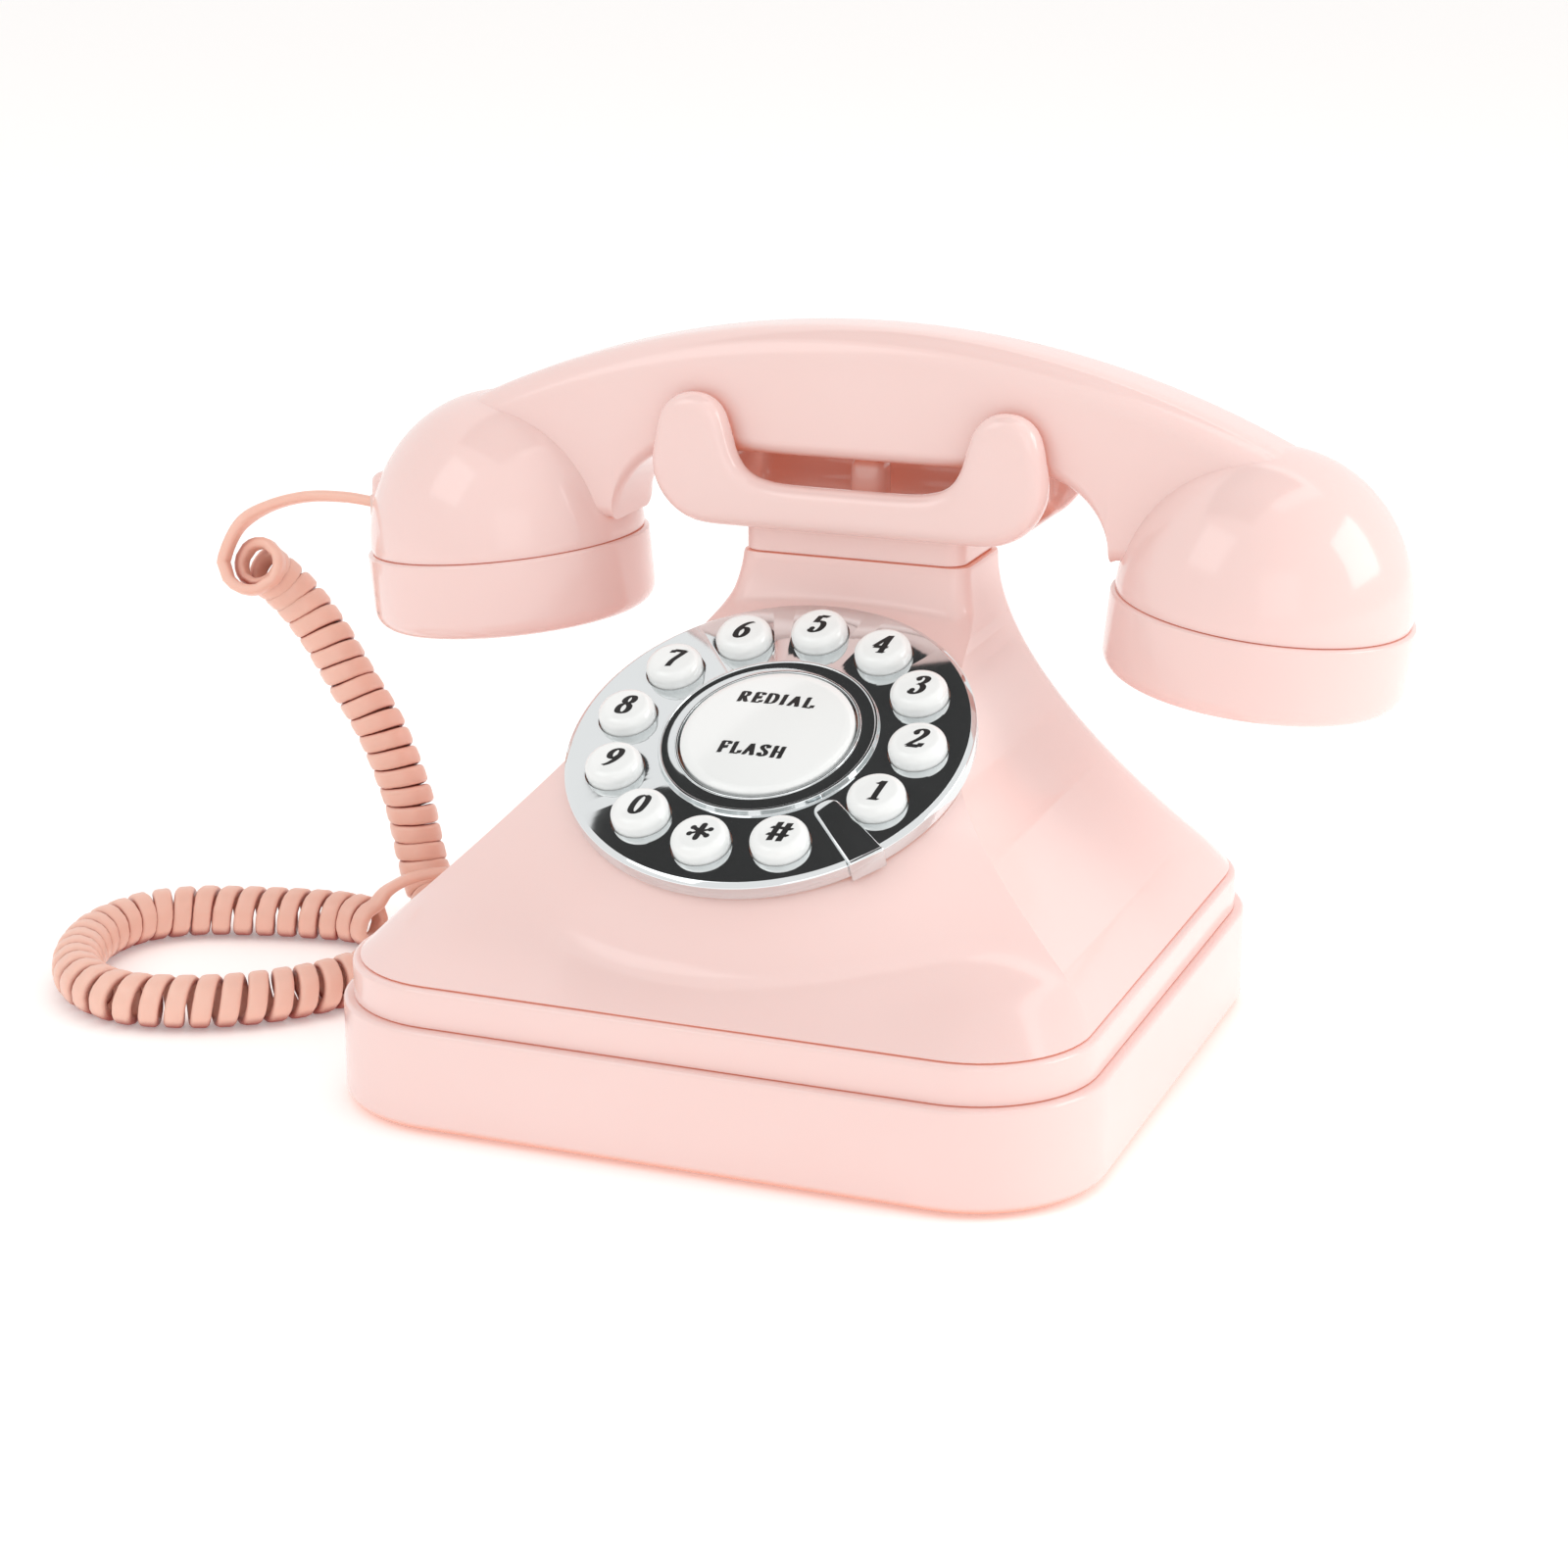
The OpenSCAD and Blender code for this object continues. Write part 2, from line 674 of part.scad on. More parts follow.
// A modular plug pointing to +X from x = 0, with its tail behind it
module plug() {
    union() {
        block([1, 11], [-3.3, 3.3], [-3.2, 3]);
        block([-2.5, 1.2], [-2.8, 2.8], [-2.2, 2.2]);
    }
}

module handset_plug() { color("whitesmoke") translate([socket_x + 0.2, handset_y, socket_z]) plug(); }

module base_plug() {
    color("whitesmoke") translate([-base_w / 2 - 0.2, jack_y, jack_z]) union() {
        plug();
        block([-7.4, -2], [-2.6, 2.6], [-2.1, 2.1]);
    }
}

module handset_lead() { color("salmon") tube(handset_lead_route, wire_d, 8, 2); }

module hanging_coil() { color("salmon") tube(hang_route, coil_d, 12, 2, [1, 0, 0]); }

module floor_loop() { color("salmon") tube(loop_route, coil_d, 12, 3); }

module base_lead() { color("salmon") tube(base_lead_route, wire_d, 8, 2); }

base_tray();
body_shell();
cradle();
hook_plunger();
hook_bracket();
hook_spring();
hook_switch();
dial_plate();
finger_stop();
key_1();
key_2();
key_3();
key_4();
key_5();
key_6();
key_7();
key_8();
key_9();
key_0();
key_star();
key_hash();
centre_rocker();
keypad_membrane();
keypad_board();
dial_screws();
main_board();
board_components();
board_screws();
ringer_speaker();
line_jack();
base_jack();
ringer_switch();
ringer_thumb();
tone_switch();
tone_thumb();
ballast_plate();
feet();
base_screws();
cradle_screws();
handset_shell();
ear_cap();
mouth_cap();
receiver_capsule();
microphone_capsule();
handset_weight();
handset_jack();
handset_plug();
base_plug();
handset_lead();
hanging_coil();
floor_loop();
base_lead();
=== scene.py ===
"""Looks of a compact desk telephone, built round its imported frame.

Each sub-assembly of the telephone is a class that holds its sizes in
millimetres and has methods that build its meshes and dress them. Each finish
is a frozen dataclass. Everything is placed in the frame of the CAD model, in
metres.
"""

from __future__ import annotations

import json
import logging
import math
from dataclasses import dataclass, field
from enum import Enum
from typing import Callable, Sequence

import bmesh
import bpy
from mathutils import Matrix, Vector

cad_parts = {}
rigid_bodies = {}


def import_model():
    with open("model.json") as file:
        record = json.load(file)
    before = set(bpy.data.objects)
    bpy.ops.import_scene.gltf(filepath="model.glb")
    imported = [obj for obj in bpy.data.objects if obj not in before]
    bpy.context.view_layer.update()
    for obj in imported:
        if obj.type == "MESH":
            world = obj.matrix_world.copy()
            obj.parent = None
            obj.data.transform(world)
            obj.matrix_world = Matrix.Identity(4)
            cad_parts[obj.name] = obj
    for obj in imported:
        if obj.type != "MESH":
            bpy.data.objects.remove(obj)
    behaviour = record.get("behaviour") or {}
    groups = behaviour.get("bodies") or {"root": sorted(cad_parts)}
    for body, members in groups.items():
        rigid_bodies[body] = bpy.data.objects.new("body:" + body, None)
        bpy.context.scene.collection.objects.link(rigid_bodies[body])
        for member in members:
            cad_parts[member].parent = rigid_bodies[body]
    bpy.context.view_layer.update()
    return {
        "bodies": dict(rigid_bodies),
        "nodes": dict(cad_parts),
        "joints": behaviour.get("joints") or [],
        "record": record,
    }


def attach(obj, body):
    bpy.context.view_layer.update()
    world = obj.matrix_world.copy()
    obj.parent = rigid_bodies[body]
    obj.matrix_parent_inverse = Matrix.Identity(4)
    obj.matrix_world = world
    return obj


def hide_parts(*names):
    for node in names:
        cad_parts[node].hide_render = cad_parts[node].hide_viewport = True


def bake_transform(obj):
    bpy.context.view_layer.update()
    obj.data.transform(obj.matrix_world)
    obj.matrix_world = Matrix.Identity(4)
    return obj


log = logging.getLogger("telephone")

MM = 0.001
Point = Sequence[float]


class Body(str, Enum):
    """The CAD bodies that pieces ride on."""

    ROOT = "root"
    HANDSET = "handset"
    ROCKER = "centre_rocker"
    PLUNGER = "hook_plunger"


class Slot(str, Enum):
    """The record's material slots."""

    BODY = "body_plastic"
    CHROME = "dial_chrome"
    KEY = "key_white"
    CORD = "cord_pvc"


# ------------------------------------------------------------------ helpers


def linear(code: str) -> tuple[float, float, float, float]:
    """Turn an sRGB hex colour into linear light.

    Args:
        code: six hex digits, with or without a leading hash.

    Returns:
        Red, green, blue and an alpha of one.
    """
    digits = code.lstrip("#")
    values = [int(digits[i : i + 2], 16) / 255 for i in (0, 2, 4)]
    parts = [v / 12.92 if v <= 0.04045 else ((v + 0.055) / 1.055) ** 2.4 for v in values]
    return (parts[0], parts[1], parts[2], 1.0)


def add_node(tree: bpy.types.NodeTree, kind: str, inputs: dict | None = None, **settings) -> bpy.types.Node:
    """Add one shader node with its settings, values and links.

    Args:
        tree: the node tree.
        kind: the node's type name.
        inputs: socket name or number to a value, or to the output that feeds it.
        **settings: the node's own properties.

    Returns:
        The new node.
    """
    node = tree.nodes.new(kind)
    for name, value in settings.items():
        setattr(node, name, value)
    for name, value in (inputs or {}).items():
        if isinstance(value, bpy.types.NodeSocket):
            tree.links.new(value, node.inputs[name])
        else:
            node.inputs[name].default_value = value
    return node


def smoothstep(value: float) -> float:
    """Ease a value from 0 to 1, clamped outside."""
    t = min(1.0, max(0.0, value))
    return t * t * (3 - 2 * t)


def soft_min(a: float, b: float, k: float) -> float:
    """Give the lower of two values, blended over the distance k."""
    h = min(1.0, max(0.0, 0.5 + 0.5 * (b - a) / k))
    return b * (1 - h) + a * h - k * h * (1 - h)


def bezier(t: float, p: Sequence[float]) -> float:
    """Give the value at t of a cubic curve with four control values."""
    u = 1 - t
    return u**3 * p[0] + 3 * u * u * t * p[1] + 3 * u * t * t * p[2] + t**3 * p[3]


def along(points: Sequence[Point], s: float) -> Vector:
    """Give the place at s on a smooth curve through points.

    Args:
        points: the points, which the curve passes at whole numbers.
        s: how far along, from 0 to the number of points less one.

    Returns:
        The place, in the points' own units.
    """
    last = len(points) - 1
    i = min(last - 1, int(math.floor(s)))
    u = s - i
    b, c = Vector(points[i]), Vector(points[i + 1])
    a = Vector(points[i - 1]) if i > 0 else 2 * b - c
    d = Vector(points[i + 2]) if i < last - 1 else 2 * c - b
    return 0.5 * (2 * b + (c - a) * u + (2 * a - 5 * b + 4 * c - d) * u * u
                  + (3 * b - a - 3 * c + d) * u * u * u)


def rounded(corners: Sequence[tuple[float, float, float]], steps: int = 6) -> list[tuple[float, float]]:
    """Round the corners of an open outline.

    Args:
        corners: (x, y, radius) of each corner, in order; the ends keep theirs sharp.
        steps: segments in each rounded corner.

    Returns:
        The outline's points.
    """
    out = [(corners[0][0], corners[0][1])]
    for before, here, after in zip(corners, corners[1:], corners[2:]):
        p = Vector(here[:2])
        if here[2] <= 0:
            out.append(tuple(p))
            continue
        u = (Vector(before[:2]) - p).normalized()
        v = (Vector(after[:2]) - p).normalized()
        half = u.angle(v) / 2
        reach = here[2] / math.tan(half)
        centre = p + (u + v).normalized() * (here[2] / math.sin(half))
        first, last = p + u * reach - centre, p + v * reach - centre
        turn = first.angle_signed(last)
        for k in range(steps + 1):
            w = -turn * k / steps
            out.append((centre.x + first.x * math.cos(w) - first.y * math.sin(w),
                        centre.y + first.x * math.sin(w) + first.y * math.cos(w)))
    out.append((corners[-1][0], corners[-1][1]))
    return out


def rounded_rectangle(left: float, front: float, right: float, back: float, radius: float,
                      steps: int = 10, front_steps: int = 1) -> list[tuple[float, float]]:
    """Give the outline of a rounded rectangle.

    Args:
        left: lowest x.
        front: lowest y.
        right: highest x.
        back: highest y.
        radius: corner radius.
        steps: segments in each corner.
        front_steps: segments in the straight part of the front.

    Returns:
        Points in counter-clockwise order, from the right end of the right-back corner.
    """
    r = radius
    out = []
    corners = ((right - r, back - r, 0), (left + r, back - r, 90),
               (left + r, front + r, 180), (right - r, front + r, 270))
    for number, (x, y, start) in enumerate(corners):
        if number == 3:
            run = right - left - 2 * r
            out += [(left + r + run * k / front_steps, front) for k in range(1, front_steps)]
        for k in range(steps + 1):
            w = math.radians(start + 90 * k / steps)
            out.append((x + r * math.cos(w), y + r * math.sin(w)))
    return out


# ------------------------------------------------------------------ meshes


def loft(rings: Sequence[Sequence[Point]]) -> bmesh.types.BMesh:
    """Extrude a ring of edges through a row of rings and close both ends.

    Args:
        rings: rings with equal numbers of points, in millimetres.

    Returns:
        A bmesh in metres.
    """
    bm = bmesh.new()
    verts = [bm.verts.new(Vector(p) * MM) for p in rings[0]]
    edges = [bm.edges.new((verts[i - 1], verts[i])) for i in range(len(verts))]
    bm.faces.new(verts)
    for ring in rings[1:]:
        made = bmesh.ops.extrude_edge_only(bm, edges=edges)["geom"]
        fresh = {g for g in made if isinstance(g, bmesh.types.BMVert)}
        verts = [next(o for o in (e.other_vert(v) for e in v.link_edges) if o in fresh) for v in verts]
        for v, p in zip(verts, ring):
            v.co = Vector(p) * MM
        edges = [g for g in made if isinstance(g, bmesh.types.BMEdge)
                 and g.verts[0] in fresh and g.verts[1] in fresh]
    bm.faces.new(verts)
    bmesh.ops.recalc_face_normals(bm, faces=bm.faces)
    return bm


def prism(outline: Sequence[tuple[float, float]], low: float, high: float,
          soft_low: float = 0.0, soft_high: float = 0.0, steps: int = 4) -> bmesh.types.BMesh:
    """Raise an outline into a block with rounded lower and upper edges.

    Args:
        outline: counter-clockwise outline in millimetres.
        low: height of the bottom.
        high: height of the top.
        soft_low: radius of the lower edge.
        soft_high: radius of the upper edge.
        steps: segments in each rounded edge.

    Returns:
        A bmesh in metres.
    """
    bm = loft([[(x, y, z) for x, y in outline] for z in (low, high)])
    for height, radius in ((low, soft_low), (high, soft_high)):
        if radius > 0:
            rim = [e for e in bm.edges if all(abs(v.co.z - height * MM) < 1e-7 for v in e.verts)]
            bmesh.ops.bevel(bm, geom=rim, offset=radius * MM, offset_type="OFFSET", segments=steps,
                            affect="EDGES", profile=0.5, material=-1, clamp_overlap=True)
    return bm


def turned(profile: Sequence[tuple[float, float]], steps: int = 96) -> bmesh.types.BMesh:
    """Spin a profile about Z.

    Args:
        profile: (radius, height) points in millimetres, from one end to the other.
        steps: segments round.

    Returns:
        A bmesh in metres.
    """
    bm = bmesh.new()
    verts = [bm.verts.new((r * MM, 0, z * MM)) for r, z in profile]
    edges = [bm.edges.new(pair) for pair in zip(verts, verts[1:])]
    bmesh.ops.spin(bm, geom=verts + edges, angle=math.tau, steps=steps, use_merge=True,
                   axis=(0, 0, 1), cent=(0, 0, 0))
    bmesh.ops.remove_doubles(bm, verts=bm.verts, dist=1e-7)
    bmesh.ops.recalc_face_normals(bm, faces=bm.faces)
    return bm


def block(low: Point, high: Point, soft: float = 0.0, steps: int = 3) -> bmesh.types.BMesh:
    """Make a block between two corners, with all its edges rounded.

    Args:
        low: lowest corner, in millimetres.
        high: highest corner.
        soft: radius of the edges.
        steps: segments in each rounded edge.

    Returns:
        A bmesh in metres.
    """
    bm = bmesh.new()
    size = (Vector(high) - Vector(low)) * MM
    centre = (Vector(high) + Vector(low)) * MM / 2
    bmesh.ops.create_cube(bm, size=1, matrix=Matrix.LocRotScale(centre, None, size))
    if soft > 0:
        bmesh.ops.bevel(bm, geom=bm.edges, offset=soft * MM, offset_type="OFFSET", segments=steps,
                        affect="EDGES", profile=0.5, material=-1, clamp_overlap=True)
    return bm


def rod(radius: float, low: float, high: float, place: Point = (0, 0), steps: int = 48) -> bmesh.types.BMesh:
    """Make an upright cylinder.

    Args:
        radius: its radius, in millimetres.
        low: height of its bottom.
        high: height of its top.
        place: x and y of its axis.
        steps: segments round.

    Returns:
        A bmesh in metres.
    """
    bm = bmesh.new()
    centre = Vector((place[0], place[1], (low + high) / 2)) * MM
    bmesh.ops.create_cone(bm, cap_ends=True, segments=steps, radius1=radius * MM, radius2=radius * MM,
                          depth=(high - low) * MM, matrix=Matrix.Translation(centre))
    return bm


def join(parts: Sequence[bmesh.types.BMesh]) -> bmesh.types.BMesh:
    """Gather several bmeshes into the first one.

    Args:
        parts: the bmeshes; all but the first are freed.

    Returns:
        The first bmesh, with everything in it.
    """
    whole = parts[0]
    for part in parts[1:]:
        carrier = bpy.data.meshes.new("carrier")
        part.to_mesh(carrier)
        part.free()
        whole.from_mesh(carrier)
        bpy.data.meshes.remove(carrier)
    return whole


def piece(name: str, bm: bmesh.types.BMesh, place: Matrix | None = None,
          crease: float = 32.0) -> bpy.types.Object:
    """Turn a bmesh into an object at the origin, with its place in its mesh.

    Args:
        name: the object's name.
        bm: its shape, which is freed.
        place: where it goes.
        crease: edges sharper than this, in degrees, stay sharp in the shading.

    Returns:
        The new object.
    """
    if place is not None:
        bmesh.ops.transform(bm, matrix=place, verts=bm.verts)
    mesh = bpy.data.meshes.new(name)
    bm.to_mesh(mesh)
    bm.free()
    mesh.shade_smooth()
    mesh.set_sharp_from_angle(angle=math.radians(crease))
    obj = bpy.data.objects.new(name, mesh)
    bpy.context.scene.collection.objects.link(obj)
    return obj


def settle(obj: bpy.types.Object, crease: float = 32.0) -> None:
    """Apply an object's modifiers and shade it again.

    Args:
        obj: the object.
        crease: as in piece.
    """
    bpy.context.view_layer.update()
    graph = bpy.context.evaluated_depsgraph_get()
    mesh = bpy.data.meshes.new_from_object(obj.evaluated_get(graph))
    obj.modifiers.clear()
    old, obj.data = obj.data, mesh
    bpy.data.meshes.remove(old)
    mesh.name = obj.name
    mesh.shade_smooth()
    mesh.set_sharp_from_angle(angle=math.radians(crease))


def combine(obj: bpy.types.Object, others: Sequence[bmesh.types.BMesh], operation: str,
            place: Matrix | None = None, crease: float = 32.0) -> None:
    """Add solids to an object, or cut them from it.

    Args:
        obj: the object that is changed.
        others: the solids, one at a time.
        operation: UNION or DIFFERENCE.
        place: where the solids go.
        crease: as in piece.
    """
    for number, solid in enumerate(others):
        tool = piece(f"tool_{number}", solid, place)
        change = obj.modifiers.new("change", "BOOLEAN")
        change.operation, change.solver, change.object = operation, "EXACT", tool
        settle(obj, crease)
        mesh = tool.data
        bpy.data.objects.remove(tool)
        bpy.data.meshes.remove(mesh)


def install(obj: bpy.types.Object, finish: "Finish", body: str | None, nodes: Sequence[str] = ()) -> bpy.types.Object:
    """Dress a new piece, seat it on its body and hide the CAD nodes that it stands for.

    Args:
        obj: the piece.
        finish: its finish.
        body: the body that it rides on, or None to leave it on no body.
        nodes: the CAD nodes that it replaces.

    Returns:
        The piece.
    """
    obj.data.materials.clear()
    obj.data.materials.append(finish.material())
    if body is not None:
        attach(obj, str(getattr(body, "value", body)))
    if nodes:
        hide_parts(*nodes)
    log.info("%s on %s: %d faces, %s", obj.name, body, len(obj.data.polygons), finish.name)
    return obj


# ------------------------------------------------------------------ finishes


@dataclass(frozen=True)
class Finish:
    """A surface: what it is made of and how it catches the light.

    The tone pattern is a soft drift between two colours and the grain is a
    fine bump; both are sized in millimetres. In gaps narrower than a set
    width the colour is painted deeper, as painted shade standing in for light
    that has gone through the walls, from where a set share of the sky is
    still in view down to a smaller one; the gaps can also give off a faint
    painted glow.
    """

    name: str
    colour: str
    drift: str
    roughness: float
    metallic: float = 0.0
    ior: float = 1.5
    tone_mm: float = 30.0
    grain_mm: float = 0.6
    grain_depth_mm: float = 0.004
    polish: float = 0.03
    wear_mm: float = 12.0
    coat: float = 0.0
    coat_roughness: float = 0.05
    inner_light: float = 0.0
    inner_reach_mm: float = 2.0
    # Painted shade: the deeper colour painted into narrow gaps, also the colour of their painted glow
    recess: str = ""
    recess_mm: float = 8.0
    recess_open: float = 0.5
    recess_shut: float = 0.1
    # Strength of the painted glow in narrow gaps
    recess_glow: float = 0.0
    glow: float = 0.0

    def material(self) -> bpy.types.Material:
        """Build this finish's material, once.

        Returns:
            The material.
        """
        found = bpy.data.materials.get(self.name)
        if found:
            return found
        material = bpy.data.materials.new(self.name)
        material.use_nodes = True
        tree = material.node_tree
        tree.nodes.clear()
        place = add_node(tree, "ShaderNodeTexCoord").outputs["Object"]
        # Mask that places the painted shade and the painted glow in narrow gaps
        depth = self.depth(tree) if self.recess else None
        shader = add_node(tree, "ShaderNodeBsdfPrincipled", {
            "Base Color": self.tone(tree, place, depth),
            "Roughness": self.sheen(tree, place),
            "Normal": self.relief(tree, place),
            "Metallic": self.metallic,
            "IOR": self.ior,
            "Coat Weight": self.coat,
            "Coat Roughness": self.coat_roughness,
            "Subsurface Weight": self.inner_light,
            "Subsurface Scale": self.inner_reach_mm * MM,
            # Colour of the painted glow in gaps, or of the paper's even glow
            "Emission Color": linear(self.recess or self.colour),
            "Emission Strength": self.glow,
        })
        # Painted glow: narrow gaps give off light of the painted gap colour, the stronger the deeper they lie
        if self.recess_glow > 0:
            painted_glow_strength = add_node(tree, "ShaderNodeMath", {0: depth, 1: self.recess_glow}, operation="MULTIPLY")
            tree.links.new(painted_glow_strength.outputs["Value"], shader.inputs["Emission Strength"])
        shader.inputs["Subsurface Radius"].default_value = (1.0, 0.5, 0.4)
        add_node(tree, "ShaderNodeOutputMaterial", {"Surface": shader.outputs["BSDF"]})
        material.diffuse_color = linear(self.colour)
        return material

    def depth(self, tree: bpy.types.NodeTree) -> bpy.types.NodeSocket:
        """Measure how deep in a gap the surface lies, to place the painted shade and glow.

        Args:
            tree: the material's node tree.

        Returns:
            A socket that runs from 0 in the open to 1.
        """
        shelter = add_node(tree, "ShaderNodeAmbientOcclusion", {"Distance": self.recess_mm * MM}, samples=8)
        return add_node(tree, "ShaderNodeMapRange", {
            "Value": shelter.outputs["AO"], "From Min": self.recess_open,
            "From Max": self.recess_shut}).outputs["Result"]

    def tone(self, tree: bpy.types.NodeTree, place: bpy.types.NodeSocket,
             depth: bpy.types.NodeSocket | None) -> bpy.types.NodeSocket:
        """Drift softly between the two colours, and to a deeper one painted as shade in narrow gaps.

        Args:
            tree: the material's node tree.
            place: the surface's place.
            depth: how deep in a gap the surface lies, which places the painted shade, or None to leave gaps unshaded.

        Returns:
            The base colour.
        """
        cloud = add_node(tree, "ShaderNodeTexNoise", {
            "Vector": place, "Scale": 1 / (self.tone_mm * MM), "Detail": 2.0, "Roughness": 0.5})
        mix = add_node(tree, "ShaderNodeMix", {
            0: cloud.outputs["Fac"], 6: linear(self.colour), 7: linear(self.drift)}, data_type="RGBA")
        if depth is None:
            return mix.outputs[2]
        # Painted shade: narrow gaps take the deeper painted colour
        return add_node(tree, "ShaderNodeMix", {
            0: depth, 6: mix.outputs[2], 7: linear(self.recess)}, data_type="RGBA").outputs[2]

    def sheen(self, tree: bpy.types.NodeTree, place: bpy.types.NodeSocket) -> bpy.types.NodeSocket:
        """Vary the roughness a little, as handling and moulding leave it.

        Args:
            tree: the material's node tree.
            place: the surface's place.

        Returns:
            The roughness.
        """
        wear = add_node(tree, "ShaderNodeTexNoise", {
            "Vector": place, "Scale": 1 / (self.wear_mm * MM), "Detail": 3.0})
        span = add_node(tree, "ShaderNodeMapRange", {
            "Value": wear.outputs["Fac"], "To Min": self.roughness - self.polish,
            "To Max": self.roughness + self.polish})
        return span.outputs["Result"]

    def relief(self, tree: bpy.types.NodeTree, place: bpy.types.NodeSocket) -> bpy.types.NodeSocket:
        """Raise the fine grain.

        Args:
            tree: the material's node tree.
            place: the surface's place.

        Returns:
            The surface's normal.
        """
        grain = add_node(tree, "ShaderNodeTexNoise", {
            "Vector": place, "Scale": 1 / (self.grain_mm * MM), "Detail": 2.0})
        bump = add_node(tree, "ShaderNodeBump", {
            "Height": grain.outputs["Fac"], "Strength": 1.0, "Distance": self.grain_depth_mm * MM})
        return bump.outputs["Normal"]


# Gloss-moulded ABS: an even pink skin with sharp highlights, and a painted orange shade with a faint painted glow in
# its narrow gaps
PINK_ABS = Finish("gloss_moulded_abs_pink", "#F5D7D2", "#F3D2CC", 0.16, grain_mm=2.2,
                  grain_depth_mm=0.0012, coat=0.25, coat_roughness=0.06, inner_light=0.05,
                  recess="#E99C80", recess_mm=16, recess_glow=0.1)
# Gloss-moulded white ABS of the keys: whiter than the body and a little cool
WHITE_ABS = Finish("gloss_moulded_abs_white", "#F3F5F4", "#EEF1F0", 0.13, grain_depth_mm=0.001, coat=0.3)
# Chrome-plated ABS: a mirror, with a trace of ripple from the moulding under it
CHROME = Finish("bright_chrome_plate", "#E2E6E7", "#DADFE1", 0.045, metallic=1.0, polish=0.015,
                grain_mm=6.0, grain_depth_mm=0.0015)
# Flexible PVC of the cord: satin, warmer and darker than the body, with a painted dark red shade between its coils
CORD_PVC = Finish("satin_extruded_pvc_salmon", "#F6CAB9", "#F3C0AD", 0.34, tone_mm=14, grain_mm=0.5,
                  grain_depth_mm=0.006, inner_light=0.12, recess="#A03020", recess_mm=4,
                  recess_open=0.78, recess_shut=0.22)
# Screen-printed ink: matt black on the keys
INK = Finish("screen_printed_ink", "#0B0B0C", "#121213", 0.45, grain_mm=0.15, grain_depth_mm=0.002)
# Matt backdrop paper: an even white, lit a little from within so that it stays white in shadow
PAPER = Finish("studio_paper", "#FBFAF9", "#FAF9F8", 0.9, grain_mm=1.0, grain_depth_mm=0.01, glow=0.24)


# ------------------------------------------------------------------ studio


@dataclass
class Studio:
    """The pale floor, the soft lights and the camera."""

    target: Point = (-5.73, 0, 53.53)
    azimuth: float = 21.51
    elevation: float = 16.99
    distance: float = 665.75
    lens: float = 76.8
    sensor: float = 36.0
    lights: list = field(default_factory=lambda: [
        # name, place, size, watts
        ("key", (-700, -800, 1000), 700, 1.9),
        ("front", (700, -1300, 500), 800, 1.2),
        ("side", (1150, 250, 650), 700, 5.0),
        ("top", (100, 300, 1350), 900, 2.4),
    ])
    floor_half_m: float = 4.0
    flag_at: Point = (-94, 92, 720)
    flag_size: Point = (500, 600)
    flag_turn: float = -24.0
    diffuse_air: float = 0.76
    seen_air: float = 1.02

    def camera(self) -> None:
        """Set the camera at the viewing angle."""
        a, e = math.radians(self.azimuth), math.radians(self.elevation)
        back = Vector((math.sin(a) * math.cos(e), -math.cos(a) * math.cos(e), math.sin(e)))
        data = bpy.data.cameras.new("camera")
        data.lens, data.sensor_width = self.lens, self.sensor
        data.clip_start, data.clip_end = 0.01, 20
        camera = bpy.data.objects.new("camera", data)
        camera.location = (Vector(self.target) + back * self.distance) * MM
        camera.rotation_euler = back.to_track_quat("Z", "Y").to_euler()
        bpy.context.scene.collection.objects.link(camera)
        bpy.context.scene.camera = camera

    def lamp(self, name: str, place: Point, size: float, watts: float) -> None:
        """Hang one square softbox, aimed at the telephone.

        Args:
            name: the lamp's name.
            place: where it hangs, in millimetres.
            size: its side.
            watts: its power.
        """
        data = bpy.data.lights.new(name, "AREA")
        data.shape, data.size, data.energy = "SQUARE", size * MM, watts
        lamp = bpy.data.objects.new(name, data)
        lamp.location = Vector(place) * MM
        aim = Vector(place) - Vector(self.target)
        lamp.rotation_euler = aim.to_track_quat("Z", "Y").to_euler()
        bpy.context.scene.collection.objects.link(lamp)

    def floor(self) -> None:
        """Lay the pale floor."""
        bm = bmesh.new()
        bmesh.ops.create_grid(bm, x_segments=1, y_segments=1, size=self.floor_half_m)
        floor = piece("studio_floor", bm)
        floor.data.materials.append(PAPER.material())

    def flag(self) -> None:
        """Hang the dark card that the chrome disc mirrors; nothing else sees it."""
        bm = bmesh.new()
        bmesh.ops.create_grid(bm, x_segments=1, y_segments=1, size=0.5)
        card = piece("studio_flag", bm)
        card.data.materials.append(INK.material())
        card.location = Vector(self.flag_at) * MM
        card.rotation_euler = (0, 0, math.radians(self.flag_turn))
        card.scale = (self.flag_size[0] * MM, self.flag_size[1] * MM, 1)
        for rays in ("camera", "diffuse", "shadow", "transmission", "volume_scatter"):
            setattr(card, f"visible_{rays}", False)

    def build(self) -> None:
        """Set up the whole studio."""
        self.camera()
        for name, place, size, watts in self.lights:
            self.lamp(name, place, size, watts)
        self.floor()
        self.flag()
        world = bpy.data.worlds.new("studio_air")
        world.use_nodes = True
        tree = world.node_tree
        diffuse = add_node(tree, "ShaderNodeLightPath").outputs["Is Diffuse Ray"]
        strength = add_node(tree, "ShaderNodeMapRange", {
            "Value": diffuse, "To Min": self.seen_air, "To Max": self.diffuse_air})
        air = tree.nodes["Background"]
        air.inputs["Color"].default_value = linear("#FFFDFC")
        tree.links.new(strength.outputs["Result"], air.inputs["Strength"])
        bpy.context.scene.world = world
        bpy.context.scene.view_settings.view_transform = "Standard"


# ------------------------------------------------------------------ cord


